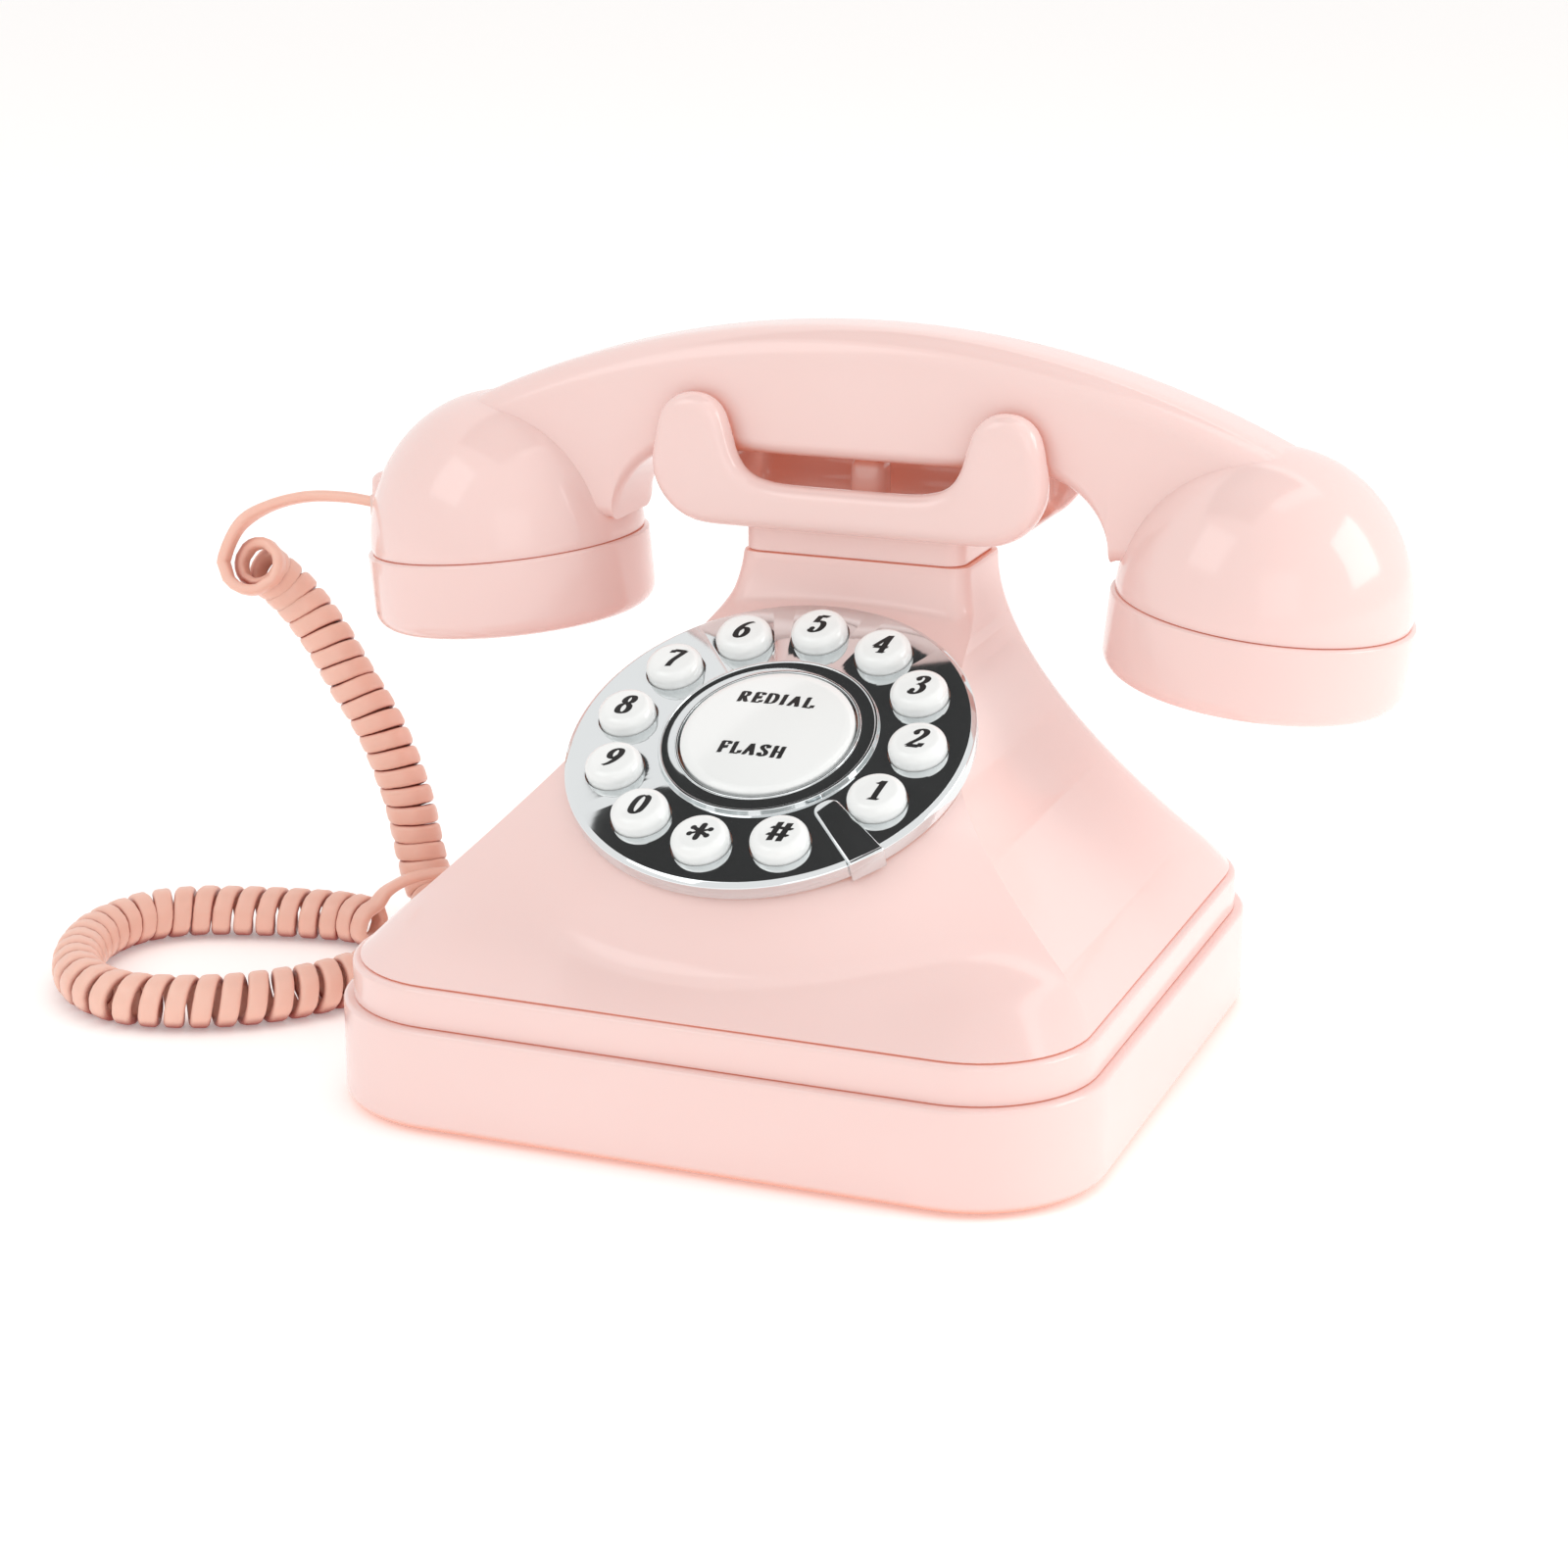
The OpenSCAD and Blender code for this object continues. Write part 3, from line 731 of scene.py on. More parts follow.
@dataclass
class CurlyCord:
    """The cord from the handset to the base: a lead, the curly part and a lead.

    The route's points are the CAD model's own, in metres.
    """

    width: float = 4.2
    thickness: float = 2.3
    coil_across: float = 11.0
    hanging_pitch: float = 4.3
    floor_pitch: float = 5.0
    rings_a_turn: int = 18
    mouth: float = 2.3
    mouth_turns: float = 0.9
    stride: float = 0.2
    hanging_share: float = 0.42
    spread_over: float = 12.0
    first_side: Point = (-0.93, -0.366, 0)
    last_side: Point = (-0.3, 0, 1)
    handset_lead: list = field(default_factory=lambda: [
        (-0.113, 0.0335, 0.0954), (-0.121, 0.0334, 0.096), (-0.13, 0.0322, 0.0956),
        (-0.1372, 0.0284, 0.0936), (-0.1418, 0.0237, 0.0899)])
    hang_route: list = field(default_factory=lambda: [
        (-0.1379, 0.022, 0.0829), (-0.1384, 0.0264, 0.0808), (-0.1369, 0.0303, 0.0773),
        (-0.133, 0.0328, 0.0723), (-0.127, 0.0335, 0.0645), (-0.121, 0.0335, 0.055),
        (-0.115, 0.0335, 0.046), (-0.1106, 0.0335, 0.0365), (-0.1076, 0.0335, 0.0275),
        (-0.1056, 0.0332, 0.0185), (-0.1025, 0.0315, 0.0105), (-0.096, 0.025, 0.006)])
    loop_route: list = field(default_factory=lambda: [
        (-0.096, 0.025, 0.006), (-0.0922, 0.013, 0.0057), (-0.0918, 0.0, 0.0056),
        (-0.0946, -0.012, 0.0056), (-0.101, -0.0245, 0.0056), (-0.1105, -0.0345, 0.0056),
        (-0.122, -0.0408, 0.0056), (-0.135, -0.043, 0.0056), (-0.1475, -0.0375, 0.0056),
        (-0.156, -0.026, 0.0056), (-0.16, -0.012, 0.0056), (-0.1575, 0.001, 0.0056),
        (-0.149, 0.0093, 0.0056), (-0.1365, 0.014, 0.0056), (-0.124, 0.017, 0.0056),
        (-0.1145, 0.018, 0.0056), (-0.1075, 0.0162, 0.0056)])
    base_lead: list = field(default_factory=lambda: [
        (-0.1058, 0.0184, 0.0128), (-0.101, 0.0208, 0.0156), (-0.0953, 0.0244, 0.0164),
        (-0.09, 0.0282, 0.015), (-0.084, 0.03, 0.013)])

    def spine(self) -> list[Vector]:
        """Walk along the curly part's own axis at even short steps.

        Returns:
            The axis's points, in millimetres.
        """
        route = self.hang_route + self.loop_route[1:]
        dense = [along(route, k / 40) / MM for k in range((len(route) - 1) * 40 + 1)]
        out, carry, step = [dense[0]], 0.0, self.stride
        for a, b in zip(dense, dense[1:]):
            gap = (b - a).length
            while carry + gap >= step * len(out):
                out.append(a.lerp(b, (step * len(out) - carry) / gap))
            carry += gap
        return out

    def helix(self) -> tuple[list[Vector], list[Vector]]:
        """Wind the cord round the spine.

        Returns:
            The centreline's points and, at each, the direction away from the spine.
        """
        spine = self.spine()
        ahead = [(spine[min(i + 1, len(spine) - 1)] - spine[max(i - 1, 0)]).normalized()
                 for i in range(len(spine))]
        side = Vector(self.first_side)
        sides = []
        for t in ahead:
            side = (side - t * side.dot(t)).normalized()
            sides.append(side)
        hang_end = self.hanging_share * len(spine)
        turns = [0.0]
        for i in range(1, len(spine)):
            share = smoothstep((i - hang_end) * self.stride / self.spread_over)
            pitch = self.hanging_pitch * (1 - share) + self.floor_pitch * share
            turns.append(turns[-1] + self.stride / pitch)
        lift = Vector(self.last_side) - ahead[-1] * Vector(self.last_side).dot(ahead[-1])
        goal = math.atan2(lift.dot(ahead[-1].cross(sides[-1])), lift.dot(sides[-1])) / -math.tau
        wanted = math.floor(turns[-1]) + goal % 1
        radius = (self.coil_across - self.thickness) / 2
        points, outs, due = [], [], 0.0
        for i, (p, t, n) in enumerate(zip(spine, ahead, sides)):
            turn = turns[i] * wanted / turns[-1]
            if turn + 1e-9 < due and i < len(spine) - 1:
                continue
            due += 1 / self.rings_a_turn
            w = -math.tau * turn
            out = n * math.cos(w) + t.cross(n) * math.sin(w)
            wider = self.mouth * (1 - smoothstep(turn / self.mouth_turns))
            points.append(p + out * (radius + wider))
            outs.append(out)
        return points, outs

    def centreline(self) -> tuple[list[Vector], list[Vector]]:
        """Join the leads to the helix.

        Returns:
            The whole centreline and the direction that the cord's flat side faces.
        """
        coil, outs = self.helix()
        begin, end = (coil[1] - coil[0]).normalized() * 5, (coil[-1] - coil[-2]).normalized() * 4
        first = [Vector(p) / MM for p in self.handset_lead] + [coil[0], coil[0] + begin]
        last = [coil[-1] - end, coil[-1]] + [Vector(p) / MM for p in self.base_lead]
        head = [along(first, k / 8) for k in range((len(first) - 2) * 8)]
        tail = [along(last, 1 + k / 8) for k in range(1, (len(last) - 2) * 8 + 1)]
        start = Vector((0, 0.3, 1)).normalized()
        faces = [start.lerp(outs[0], smoothstep((k / len(head) - 0.3) / 0.7)).normalized()
                 for k in range(len(head))]
        faces += outs
        faces += [outs[-1].lerp(start, smoothstep(k / len(tail) / 0.7)).normalized()
                  for k in range(1, len(tail) + 1)]
        return head + coil + tail, faces

    def build(self) -> None:
        line, faces = self.centreline()
        a, b = self.width / 2, self.thickness / 2
        section = rounded_rectangle(-a, -b, a, b, b * 0.92, steps=3)
        rings = []
        for i, (p, out) in enumerate(zip(line, faces)):
            t = (line[min(i + 1, len(line) - 1)] - line[max(i - 1, 0)]).normalized()
            out = (out - t * out.dot(t)).normalized()
            across = out.cross(t)
            rings.append([p + across * x + out * y for x, y in section])
        cord = piece("curly_cord", loft(rings), crease=60)
        install(cord, CORD_PVC, None, ("handset_lead", "hanging_coil", "floor_loop", "base_lead"))
        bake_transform(cord)


# ------------------------------------------------------------------ body


@dataclass
class DialSeat:
    """The tilted round seat that the dial sits on."""

    centre_y: float = -22.6
    centre_z: float = 69.8
    tilt: float = 27.1
    disc_t: float = 4.0
    radius: float = 38.0
    flank: float = 0.68
    blend: float = 8.0

    @property
    def place(self) -> Matrix:
        """The disc's frame: its top face is z = 0 there."""
        move = Matrix.Translation(Vector((0, self.centre_y, self.centre_z)) * MM)
        return move @ Matrix.Rotation(math.radians(self.tilt), 4, "X")

    @property
    def plane(self) -> tuple[float, float]:
        """The y and z of the middle of the disc's underside."""
        w = math.radians(self.tilt)
        return self.centre_y + self.disc_t * math.sin(w), self.centre_z - self.disc_t * math.cos(w)

    def half(self, z: float) -> float:
        """Half of the seat's width at the height z."""
        v = (z - self.plane[1]) / math.sin(math.radians(self.tilt))
        return math.sqrt(max(0.0, self.radius**2 - v * v))

    def front(self, x: float, z: float) -> float:
        """Say where the seat's surface lies.

        Args:
            x: place across, in millimetres.
            z: height.

        Returns:
            The surface's y.
        """
        w = math.radians(self.tilt)
        rise = z - self.plane[1]
        reach = math.hypot(x, rise / math.sin(w))
        return self.plane[0] + rise / math.tan(w) + max(0.0, reach - self.radius) * self.flank


@dataclass
class FlaredBody:
    """The stepped base and the flared shell with its neck."""

    seat: DialSeat
    width: float = 152.8
    depth: float = 148.0
    corner: float = 26.0
    foot: float = 0.8
    tray_top: float = 21.0
    band_top: float = 28.5
    step: float = 2.0
    heights: tuple = (95, 75.5, 51, 30)
    sides: tuple = (24.4, 24.4, 50.5, 72.8)
    fronts: tuple = (22, 18, -8, -70.3)
    backs: tuple = (46, 45, 52, 71)
    corners: tuple = (4, 5, 14, 22)
    roll: float = 1.0
    rings: int = 96
    jack_half: Point = (6.2, 5.7)
    jack_z: float = 13.0
    cord_jack_y: float = 30.0
    line_jack_x: float = -30.0
    switches: Point = (22, 42)
    feet: Point = (44, 48)
    foot_r: float = 6.1
    screws: Point = (57, 54)
    screw_r: float = 3.2
    grille: Point = (42, 24)
    grille_pitch: float = 4.5

    def ring(self, t: float, inset: float, z: float) -> list[tuple[float, float, float]]:
        """Give one level ring of the flare.

        Args:
            t: how far down the flare, from 0 at the neck to 1 at the lip.
            inset: how far inside the skin the ring is.
            z: the ring's height.

        Returns:
            Its points in millimetres.
        """
        a, b = bezier(t, self.sides) - inset, bezier(t, self.backs) - inset
        f = bezier(t, self.fronts) + inset
        r = max(1.0, bezier(t, self.corners) - inset)
        widen = max(0.0, (self.seat.half(z) + 1.5) / a - 1)
        mid = (f + b) / 2
        out = []
        for x, y in rounded_rectangle(-a, f, a, b, r, steps=14, front_steps=36):
            w = min(1.0, max(0.0, (mid - y) / (mid - f)))
            x *= 1 + w * widen
            y += (soft_min(y, self.seat.front(x, z), self.seat.blend) - y) * min(1.0, 1.6 * w)
            out.append((x, y, z))
        return out

    def flare(self) -> None:
        """Build the upper moulding: neck, flare, rounded lip and upper band."""
        rows = [self.ring(0, 1.5, self.heights[0]), self.ring(0, 0.7, self.heights[0]),
                self.ring(0, 0.2, self.heights[0] - 0.2), self.ring(0, 0, self.heights[0] - 0.7)]
        for k in range(2, self.rings + 1):
            t = k / self.rings
            drop = self.roll * max(0.0, (t - 0.92) / 0.08) ** 2
            rows.append(self.ring(t, 0, bezier(t, self.heights) - drop))
        lip = self.heights[3] - self.roll
        rows += [self.ring(1, 0, lip - 0.15), self.ring(1, 0.2, lip - 0.35),
                 self.ring(1, 0.5, self.band_top - 0.1)]
        w, d = self.width / 2 - self.step, self.depth / 2 - self.step
        band = prism(rounded_rectangle(-w, -d, w, d, self.corner - self.step, steps=16),
                     self.tray_top + 0.1, self.band_top, 0.35, 0.8)
        shell = piece("body_moulding", join([loft(rows), band]))
        install(shell, PINK_ABS, Body.ROOT, ("body_shell",))

    def tray(self) -> None:
        """Build the lower moulding, with its openings and the floor's slots."""
        w, d = self.width / 2, self.depth / 2
        tray = piece("base_moulding", prism(
            rounded_rectangle(-w, -d, w, d, self.corner, steps=16), self.foot, self.tray_top, 2.2, 0.9, 6))
        a, b = self.jack_half
        low, high = self.jack_z - b, self.jack_z + b
        cuts = [block((-w - 1, self.cord_jack_y - a, low), (-w + 15, self.cord_jack_y + a, high)),
                block((self.line_jack_x - a, d - 15, low), (self.line_jack_x + a, d + 1, high))]
        cuts += [block((x - 5, d - 2.8, 10.5), (x + 5, d + 1, 15.5)) for x in self.switches]
        for (u, v), radius, depth in ((self.feet, self.foot_r, 2.8), (self.screws, self.screw_r, 4)):
            cuts += [rod(radius, 0, depth, (x, y)) for x in (-u, u) for y in (-v, v)]
        for i in range(-3, 4):
            reach = (24 - abs(i) * 3) / 2
            x, y = self.grille[0] + self.grille_pitch * i, self.grille[1]
            cuts.append(prism(rounded_rectangle(x - 1, y - reach, x + 1, y + reach, 0.8, steps=4), 0, 3.4))
        combine(tray, [join(cuts)], "DIFFERENCE")
        install(tray, PINK_ABS, Body.ROOT, ("base_tray",))

    def build(self) -> None:
        """Build both mouldings."""
        self.flare()
        self.tray()


@dataclass
class Cradle:
    """The saddle with four horns on the neck.

    The saddle is drawn a little large, by grow at its top, because the
    smoothing after the remesh draws it in.
    """

    y: float = 33.5
    half: float = 41.7
    low: float = 100.5
    floor: float = 104.0
    horn_x: float = 33.0
    horn_r: float = 7.7
    horn_top: float = 126.8
    dip: float = 109.7
    channel: float = 11.3
    wall: float = 6.2
    edge: float = 2.9
    rear_half: float = 24.0
    rear_top: float = 112.4
    rib_x: float = 31.0
    rib_top: float = 114.1
    corner: float = 13.0
    grow: float = 0.7
    button_half: float = 3.6
    button_top: float = 114.2
    slot_half: float = 4.0
    voxel: float = 0.75
    soften: int = 30

    def outline(self) -> list[tuple[float, float]]:
        """Draw the saddle's outline seen from the front.

        Returns:
            Its (x, z) points, counter-clockwise.
        """
        corner = self.corner
        side = self.half + self.grow * 0.4 - corner
        right = [(side + corner * math.cos(w), self.low + corner + corner * math.sin(w))
                 for w in (math.radians(-90 + 90 * k / 12) for k in range(13))]
        centre = self.horn_top + self.grow - self.horn_r
        right += [(self.horn_x + self.horn_r * math.cos(w), centre + self.horn_r * math.sin(w))
                  for w in (math.radians(16 + 144 * k / 20) for k in range(21))]
        right += [(bezier(k / 14, (24.6, 22.6, 21.0, 10)), bezier(k / 14, (117.6, 111.5, 109.9, self.dip)))
                  for k in range(1, 15)]
        return right + [(-x, z) for x, z in reversed(right)]

    def build(self) -> None:
        """Build the saddle, soften it and stand it on its neck block."""
        reach = self.channel + self.wall
        stand = Matrix.Translation((0, self.y * MM, 0)) @ Matrix.Rotation(math.radians(90), 4, "X")
        saddle = piece("cradle_saddle", prism(self.outline(), -reach, reach, self.edge, self.edge), stand)
        across = rounded_rectangle(-self.channel, self.floor, self.channel, 160, 3.0, steps=6)
        swap = Matrix(((0, 0, 1, 0), (1, 0, 0, 0), (0, 1, 0, 0), (0, 0, 0, 1)))
        combine(saddle, [prism(across, -60, 60)], "DIFFERENCE",
                Matrix.Translation((0, self.y * MM, 0)) @ swap)
        ribs = [block((x - 3, self.y - self.channel - 1, self.floor - 1),
                      (x + 3, self.y + self.channel + 1, self.rib_top), 0.5)
                for x in (-self.rib_x, self.rib_x)]
        rear = block((-self.rear_half, self.y + self.channel, self.floor),
                     (self.rear_half, self.y + reach - 0.4, self.rear_top), 2.0)
        combine(saddle, [join(ribs), rear], "UNION")
        mould = saddle.modifiers.new("mould", "REMESH")
        mould.mode, mould.voxel_size, mould.use_smooth_shade = "VOXEL", self.voxel * MM, True
        ease = saddle.modifiers.new("ease", "SMOOTH")
        ease.factor, ease.iterations = 0.5, self.soften
        settle(saddle, 180)
        slot = block((-self.slot_half, self.y - 4.4, self.floor - 6),
                     (self.slot_half, self.y + 4.4, self.floor + 2), 0.6)
        combine(saddle, [slot], "DIFFERENCE", crease=50)
        install(saddle, PINK_ABS, Body.ROOT, ("cradle",))
        neck = piece("cradle_neck", prism(
            rounded_rectangle(-23.5, 21.9, 23.5, 45.2, 4, steps=10), 95.15, self.low + 1.5, 0.5))
        install(neck, PINK_ABS, Body.ROOT)
        plunger = piece("hook_button", block(
            (-self.button_half, self.y - 4, 95.7), (self.button_half, self.y + 4, self.button_top), 2.6, 5))
        stem = rod(3, 73.4, 96.5, (0, self.y))
        collar = rod(5.4, 84, 86, (0, self.y))
        combine(plunger, [join([stem, collar])], "UNION")
        install(plunger, PINK_ABS, Body.PLUNGER, ("hook_plunger",))


# ------------------------------------------------------------------ marks

# Marks in hundredths of the type's height: the width, then strokes parted by
# slashes. A stroke of one point is the round end of a stroke.
MARKS = {
    "1": (46, "10,79 22,85 31,97/31,97 31,3/12,3 50,3"),
    "2": (56, "13,75/9,76 15,91 30,97 45,88 47,70 36,46 18,24 6,8/6,6 50,6/10,12 48,12/50,6 54,26"),
    "3": (54, "13,80/9,82 16,93 29,97 42,89 43,73 34,58 20,54/20,54 38,50 47,34 43,14 27,3 12,7 9,17/13,19"),
    "4": (58, "40,97 40,3/26,3 54,3/40,95 5,32/4,27 56,27/5,32 54,32"),
    "5": (54, "15,94 47,94/16,89 44,89/15,94 11,54/11,54 24,61 40,56 47,36 41,13 25,3 12,7 9,17/13,19"),
    "6": (54, "47,94 32,86 17,66 9,38 13,12 27,3 41,12 47,31 41,50 28,56 16,47 10,36"),
    "7": (54, "6,76 8,93/7,94 51,94/9,88 49,88/51,94 40,64 28,34 24,3"),
    "8": (54, "27,54 14,62 12,78 19,93 28,97 37,93 43,79 40,62 27,54/"
              "27,54 12,45 7,27 13,8 27,3 41,8 47,26 42,44 27,54"),
    "9": (54, "7,6 22,14 37,34 45,62 41,88 27,97 13,88 7,69 13,50 26,44 38,53 44,64"),
    "0": (56, "28,97 14,88 8,66 8,34 14,12 28,3 42,12 48,34 48,66 42,88 28,97"),
    "*": (84, "42,50 42,84/42,50 42,16/42,50 76,67/42,50 8,67/42,50 76,33/42,50 8,33/"
              "42,84/42,16/74,66/10,66/74,34/10,34"),
    "#": (80, "24,3 24,97/58,3 58,97/3,31 79,31/3,35 79,35/3,65 79,65/3,69 79,69"),
    "A": (78, "10,3 38,97/38,97 62,3/2,3 22,3/50,3 76,3/20,34 52,34"),
    "D": (78, "16,3 16,97/4,3 40,3/4,97 40,97/38,97 60,86 68,50 60,14 38,3"),
    "E": (68, "16,3 16,97/4,3 60,3/4,97 60,97/60,97 60,76/60,3 63,26/16,51 44,51/44,38 44,64"),
    "F": (64, "16,3 16,97/4,97 60,97/60,97 60,74/4,3 30,3/16,51 44,51/44,38 44,64"),
    "H": (84, "18,3 18,97/64,3 64,97/5,3 31,3/5,97 31,97/51,3 77,3/51,97 77,97/18,51 64,51"),
    "I": (38, "19,3 19,97/5,3 33,3/5,97 33,97"),
    "L": (66, "16,3 16,97/4,97 30,97/4,3 60,3/60,3 63,30"),
    "R": (76, "16,3 16,97/4,3 28,3/4,97 40,97/16,97 44,96 56,86 56,66 44,53 20,52/36,52 58,8 74,3"),
    "S": (60, "50,72 50,97/50,80 40,95 26,97 12,88 10,72 22,58 40,46 50,32 48,14 34,3 18,4 8,20/8,28 8,3"),
}


@dataclass(frozen=True)
class Pen:
    """A broad pen for bold serif marks: heavy uprights and fine crossings."""

    heavy: float = 0.112
    fine: float = 0.042
    hold: float = 0.2
    slant: float = 0.16
    gap: float = 0.21
    steps: int = 6

    def nib(self, normal: Vector) -> Vector:
        """Give the nib's edge in the direction across a stroke.

        Args:
            normal: unit vector across the stroke.

        Returns:
            The offset from the stroke's middle to its edge.
        """
        turn = Matrix.Rotation(self.hold, 2)
        n = turn.transposed() @ normal
        edge = Vector((self.heavy**2 * n.x, self.fine**2 * n.y))
        return turn @ (edge / math.hypot(self.heavy * n.x, self.fine * n.y))

    def stroke(self, bm: bmesh.types.BMesh, points: list[Vector]) -> None:
        """Draw one stroke into a bmesh.

        Args:
            bm: the bmesh.
            points: the stroke's points, in type heights.
        """
        if len(points) == 1:
            bmesh.ops.create_circle(bm, cap_ends=True, segments=16, radius=self.heavy * 0.95,
                                    matrix=Matrix.Translation((*points[0], 0)))
            return
        line = [along(points, k / self.steps) for k in range((len(points) - 1) * self.steps + 1)]
        last = None
        for k, p in enumerate(line):
            t = (line[min(k + 1, len(line) - 1)] - line[max(k - 1, 0)]).normalized()
            edge = self.nib(Vector((-t.y, t.x)))
            pair = [bm.verts.new((*q, 0)) for q in (p + edge, p - edge)]
            if last:
                bm.faces.new((*last, pair[1], pair[0]))
            last = pair

    def word(self, text: str) -> bmesh.types.BMesh:
        """Draw a word with its middle at the origin.

        Args:
            text: the marks.

        Returns:
            A flat bmesh, in type heights.
        """
        bm = bmesh.new()
        start = 0.0
        for mark in text:
            width, drawing = MARKS[mark]
            for stroke in drawing.split("/"):
                pairs = [pair.split(",") for pair in stroke.split()]
                self.stroke(bm, [Vector((start + float(x) / 100, float(y) / 100)) for x, y in pairs])
            start += width / 100 + self.gap
        middle = (start - self.gap) / 2
        for v in bm.verts:
            v.co.y -= 0.5
            v.co.x += self.slant * v.co.y - middle
        bmesh.ops.recalc_face_normals(bm, faces=bm.faces)
        for face in bm.faces:
            if face.normal.z < 0:
                face.normal_flip()
        return bm

    def print_on(self, text: str, name: str, height: float, middle: tuple[float, float],
                 surface: Callable[[float], float], place: Matrix) -> bpy.types.Object:
        """Print a word on a round-topped surface, as a thin film of ink.

        Args:
            text: the marks.
            name: the piece's name.
            height: height of the type, in millimetres.
            middle: the word's middle on the surface, in millimetres.
            surface: height of the surface at a distance from its middle, in millimetres.
            place: the surface's frame.

        Returns:
            The printed piece.
        """
        bm = self.word(text)
        for v in bm.verts:
            x, y = v.co.x * height + middle[0], v.co.y * height + middle[1]
            v.co = Vector((x, y, surface(math.hypot(x, y)) + 0.03)) * MM
        return piece(name, bm, place)


# ------------------------------------------------------------------ dial


@dataclass
class Dial:
    """The chrome disc with its keys, centre button and finger stop."""

    seat: DialSeat
    radius: float = 40.0
    thickness: float = 4.0
    ring: float = 30.0
    key_r: float = 5.6
    key_h: float = 3.4
    first: float = -27.4
    step: float = 29.2
    rocker_r: float = 17.0
    stop_angle: float = 316.0
    numeral_mm: float = 5.3
    numeral_at: tuple = (0.4, 0.0)
    word_mm: float = 3.05
    words: tuple = (("REDIAL", (-0.7, 8.1)), ("FLASH", (-0.7, -6.3)))
    rocker_top: float = 2.9
    rocker_fall: float = 0.9
    stop_half: float = 3.6
    stop_top: float = 0.75
    pen: Pen = Pen()
    word_pen: Pen = Pen(heavy=0.15, fine=0.055, slant=0.06)
    marks: tuple = ("1", "2", "3", "4", "5", "6", "7", "8", "9", "0", "*", "#")

    def key_node(self, mark: str) -> str:
        """Name the CAD node of the key with this mark."""
        return "key_" + {"*": "star", "#": "hash"}.get(mark, mark)

    def spot(self, number: int) -> Vector:
        """Give a key's place on the disc, in millimetres."""
        w = math.radians(self.first + number * self.step)
        return Vector((self.ring * math.cos(w), self.ring * math.sin(w), 0))

    def plate(self) -> None:
        """Build the chrome disc with its raised platform and key holes."""
        r, t = self.radius, self.thickness
        profile = rounded([
            (17.5, -t, 0), (17.5, 1.3, 0.2), (18.0, 1.3, 0.2), (18.1, 1.0, 0.1), (20.7, 0.95, 0.1),
            (20.8, 1.15, 0.1), (21.3, 1.1, 0.2), (21.5, 0, 0.15), (39.0, 0, 0.3), (r, -0.7, 0.4),
            (r, -t + 0.7, 0.3), (r - 0.5, -t, 0.2), (17.5, -t, 0)], 4)
        disc = piece("dial_disc", turned(profile, 160), self.seat.place)
        holes = [rod(self.key_r + 0.3, -6, 4, self.spot(i)[:2], 56) for i in range(12)]
        combine(disc, [join(holes)], "DIFFERENCE", self.seat.place)
        install(disc, CHROME, Body.ROOT, ("dial_plate",))

    def stop(self) -> None:
        """Build the finger stop, which runs from the platform over the rim."""
        half, top, r = self.stop_half, self.stop_top, self.radius
        tongue = rounded([(r + 0.6, -half, 0), (22.9, -2.5, 2.3), (22.9, 2.5, 2.3), (r + 0.6, half, 0)], 8)
        blade = prism(tongue, 0.02, top, 0, 0.45, 3)
        wrap = block((r + 0.1, -half, 0.2 - self.thickness), (r + 1.1, half, top), 0.35)
        turn = self.seat.place @ Matrix.Rotation(math.radians(self.stop_angle), 4, "Z")
        stop = piece("dial_finger_stop", join([blade, wrap]), turn)
        install(stop, CHROME, Body.ROOT, ("finger_stop",))

    def crown(self, reach: float) -> float:
        """Give the height of a key's top at a distance from its middle."""
        return self.key_h - 0.45 * (reach / self.key_r) ** 2

    def key(self, number: int, mark: str) -> None:
        """Build one domed key and print its mark.

        Args:
            number: its place round the disc, counter-clockwise from the key 1.
            mark: what it carries.
        """
        r = self.key_r
        flat = r - 2.2
        top = [(flat * k / 8, self.crown(flat * k / 8)) for k in range(9)]
        profile = rounded([(0, -7.4, 0), (6.5, -7.4, 0.2), (6.5, -5.6, 0.2), (r, -5.6, 0),
                           (r, self.key_h - 0.2, 2.0), (top[-1][0], top[-1][1], 0)], 10)
        place = self.seat.place @ Matrix.Translation(self.spot(number) * MM)
        node = self.key_node(mark)
        cap = piece(f"{node}_cap", turned(profile[:-1] + top[::-1], 56), place, 60)
        install(cap, WHITE_ABS, node, (node,))
        film = self.pen.print_on(mark, f"{node}_mark", self.numeral_mm, self.numeral_at, self.crown, place)
        install(film, INK, node)

    def dome(self, reach: float) -> float:
        """Give the height of the centre button's top at a distance from its middle."""
        return self.rocker_top - self.rocker_fall * (reach / self.rocker_r) ** 2

    def rocker(self) -> None:
        """Build the centre button and print its two words."""
        r = self.rocker_r
        top = [(r * k / 16, self.dome(r * k / 16)) for k in range(16)]
        profile = rounded([(0, -8.6, 0), (4, -8.6, 0), (4, -5, 0), (r, -5, 0), (r, 1.5, 0.5),
                           (top[-1][0], top[-1][1], 0)])
        button = piece("centre_button", turned(profile[:-1] + top[::-1], 128), self.seat.place, 50)
        install(button, WHITE_ABS, Body.ROCKER, ("centre_rocker",))
        for word, middle in self.words:
            film = self.word_pen.print_on(
                word, f"mark_{word.lower()}", self.word_mm, middle, self.dome, self.seat.place)
            install(film, INK, Body.ROCKER)

    def build(self) -> None:
        """Build the whole dial."""
        self.plate()
        self.stop()
        for number, mark in enumerate(self.marks):
            self.key(number, mark)
        self.rocker()


# ------------------------------------------------------------------ handset


class End(Enum):
    """The two ends of the handset."""

    MOUTH = -1
    EAR = 1


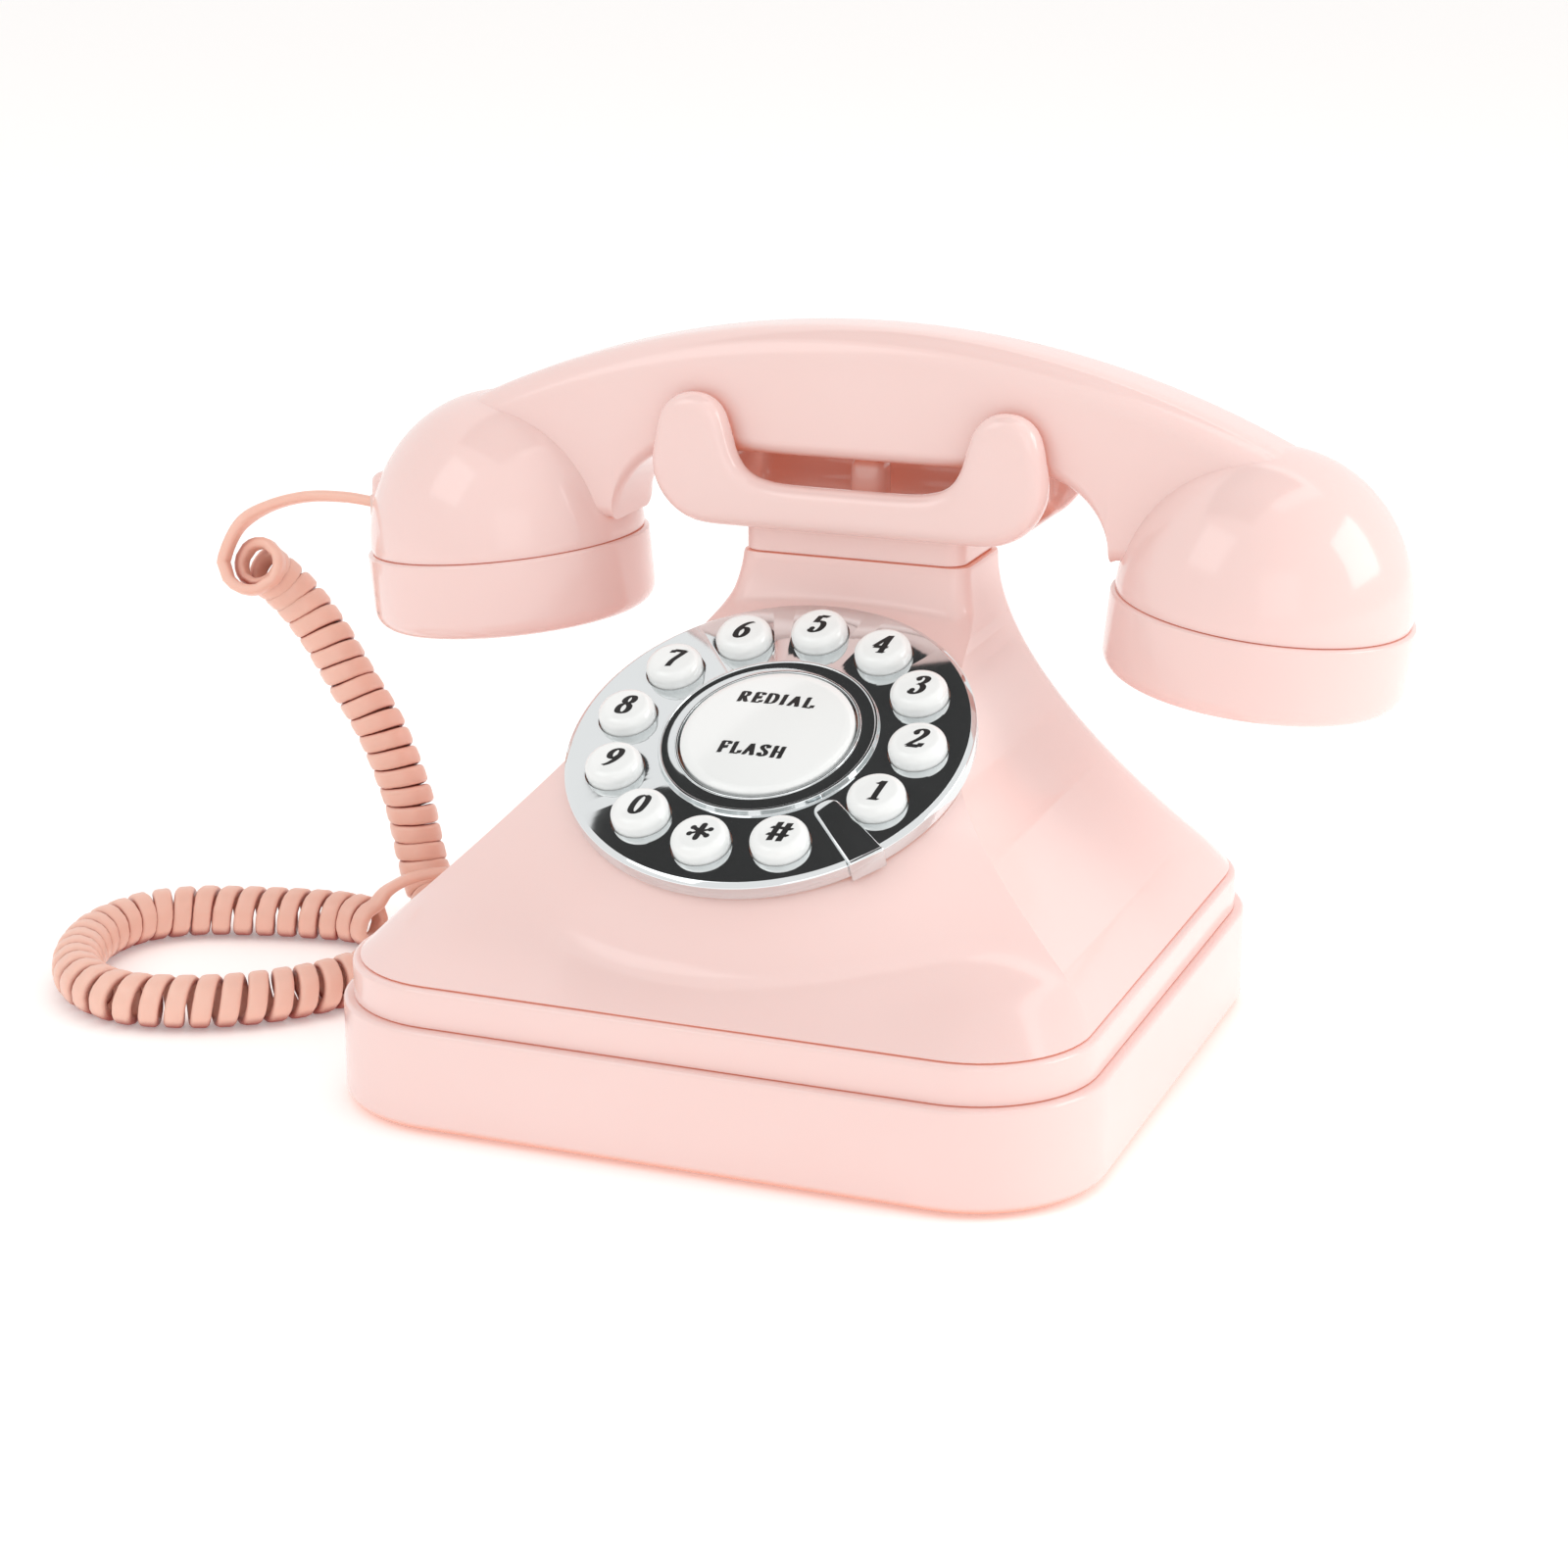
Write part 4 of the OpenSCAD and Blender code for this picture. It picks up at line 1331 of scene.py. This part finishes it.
@dataclass
class Handset:
    """The bar handset: one arched moulding with two domes, and a cap on each."""

    y: float = 33.5
    cup_x: float = 81.8
    cup_z: float = 90.5
    tilt: float = 6.1
    dome_r: float = 29.2
    dome_h: float = 31.5
    cap_r: float = 30.0
    cap_len: float = 16.2
    half: float = 10.5
    low: float = 114.5
    top: float = 141.0
    arch: float = 198.0
    fillet: float = 17.0
    cup_side: float = 53.0
    root_z: float = 98.5
    hole_r: float = 1.3
    hole_ring: float = 8.0

    def cup(self, end: End) -> Matrix:
        """Give the frame of one cup; z = 0 is its seam."""
        move = Matrix.Translation(Vector((end.value * self.cup_x, self.y, self.cup_z)) * MM)
        return move @ Matrix.Rotation(math.radians(end.value * self.tilt), 4, "Y")

    def handle(self) -> bmesh.types.BMesh:
        """Build the arched bar as a row of sections across X.

        Returns:
            A bmesh in metres.
        """
        start = self.cup_side - self.fillet
        inner = [(start * k / 12, self.low) for k in range(12)]
        inner += [(start + self.fillet * math.sin(w), self.low - self.fillet * (1 - math.cos(w)))
                  for w in (math.radians(88 * k / 22) for k in range(23))]
        inner += [(self.cup_side + 1 + 37 * k / 12, self.root_z) for k in range(13)]
        stations = [(-x, z) for x, z in reversed(inner[1:])] + inner
        rings = []
        for x, low in stations:
            high = math.sqrt(self.arch**2 - x * x) - self.arch + self.top
            half, middle = self.half, (low + high) / 2
            outline = rounded([(-half, middle, 0), (-half, low, 3.5), (half, low, 3.5),
                               (half, high, 7), (-half, high, 7), (-half, middle, 0)], 8)
            rings.append([(x, self.y + u, v) for u, v in outline[:-1]])
        return loft(rings)

    def dome(self) -> bmesh.types.BMesh:
        """Build one dome above its seam.

        Returns:
            A bmesh in metres.
        """
        side = [(self.dome_r * math.cos(w), self.dome_h * math.sin(w))
                for w in (math.radians(90 * k / 40) for k in range(41))]
        return turned([(0, 0.0), (self.dome_r - 0.7, 0.0)] + [(self.dome_r - 0.25, 0.2)] + side[1:], 128)

    def shell(self) -> None:
        """Join the bar, the domes and the cord's boss into one moulding."""
        shell = piece("handset_moulding", self.handle())
        for end in End:
            combine(shell, [self.dome()], "UNION", self.cup(end), 24)
        boss = block((-110.8, self.y - 8, 91.5), (-98, self.y + 8, 103.6), 2.2, 4)
        combine(shell, [boss], "UNION", crease=24)
        socket = block((-112, self.y - 4.6, 91.6), (-104, self.y + 4.6, 99.2))
        combine(shell, [socket], "DIFFERENCE", crease=24)
        install(shell, PINK_ABS, Body.HANDSET, ("handset_shell",))

    def cap(self, end: End, node: str, holes: int) -> None:
        """Build one cap with its sound holes.

        Args:
            end: which end of the handset it closes.
            node: the CAD node that it stands for.
            holes: number of holes round the one in the middle.
        """
        r, t = self.cap_r, self.cap_len
        outside = [(0, -t + 1.6, 0), (16, -t + 1.2, 6), (24, -t, 3), (r, -t, 4.2), (r, -0.3, 0.5)]
        inside = [(r - 0.7, 0, 0.2), (r - 2.6, 0, 0), (r - 2.6, -t + 5, 2),
                  (20, -t + 3.8, 0), (0, -t + 3.8, 0)]
        profile = rounded(outside + inside, 8)
        cap = piece(f"{node}_moulding", turned(profile, 128), self.cup(end), 40)
        drills = [rod(self.hole_r, -20, -10, (self.hole_ring * math.cos(w), self.hole_ring * math.sin(w)), 20)
                  for w in (math.tau * k / holes for k in range(holes))]
        drills.append(rod(self.hole_r, -20, -10, steps=20))
        combine(cap, [join(drills)], "DIFFERENCE", self.cup(end), 40)
        install(cap, PINK_ABS, Body.HANDSET, (node,))

    def build(self) -> None:
        """Build the moulding and both caps."""
        self.shell()
        self.cap(End.EAR, "ear_cap", 8)
        self.cap(End.MOUTH, "mouth_cap", 6)


# ------------------------------------------------------------------ inner works


@dataclass
class Works:
    """The carried-over CAD pieces, most of them inside."""

    finishes: dict = field(default_factory=lambda: {
        # Slot name to finish; each is named for what it is
        "inner_plastic": Finish("moulded_abs_natural", "#D9D6CF", "#D2CEC6", 0.42, grain_depth_mm=0.01),
        "black_plastic": Finish("moulded_nylon_black", "#141415", "#1B1B1D", 0.38, grain_depth_mm=0.01),
        "circuit_board": Finish("glass_epoxy_board", "#1F6A3C", "#195A32", 0.30, tone_mm=6, grain_mm=0.4,
                                grain_depth_mm=0.008, coat=0.3),
        "screw_steel": Finish("zinc_plated_steel", "#B9BCBE", "#A9ADB1", 0.28, metallic=1.0),
        "spring_steel": Finish("drawn_spring_wire", "#AEB1B3", "#9DA1A4", 0.24, metallic=1.0),
        "ballast_steel": Finish("rolled_steel_plate", "#7E8286", "#6E7276", 0.42, metallic=1.0, tone_mm=10),
        "foot_rubber": Finish("moulded_rubber_black", "#1A1A1A", "#222221", 0.75, grain_mm=0.4,
                              grain_depth_mm=0.03),
        "silicone": Finish("moulded_silicone_grey", "#C9C8C4", "#C0BFBA", 0.55, inner_light=0.2),
        "plug_clear": Finish("moulded_polycarbonate_pale", "#F1DAD3", "#EBD0C8", 0.12, coat=0.3,
                             inner_light=0.3),
        "key_white": WHITE_ABS,
        "body_plastic": PINK_ABS,
        "dial_chrome": CHROME,
        "cord_pvc": CORD_PVC,
    })

    def dress(self, frame: dict) -> None:
        """Give every CAD node its slot's finish.
        """
        for part in frame["record"]["subparts"]:
            node = frame["nodes"][part["node"]]
            finish = self.finishes[part["material_slot"]]
            node.data.materials.clear()
            node.data.materials.append(finish.material())


def main() -> None:
    """Build the studio, the cord and then each sub-assembly in turn."""
    logging.basicConfig(level=logging.INFO, format="%(message)s")
    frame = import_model()
    Studio().build()
    CurlyCord().build()
    Works().dress(frame)
    seat = DialSeat()
    FlaredBody(seat).build()
    Cradle().build()
    Dial(seat).build()
    Handset().build()


if __name__ == "__main__":
    main()
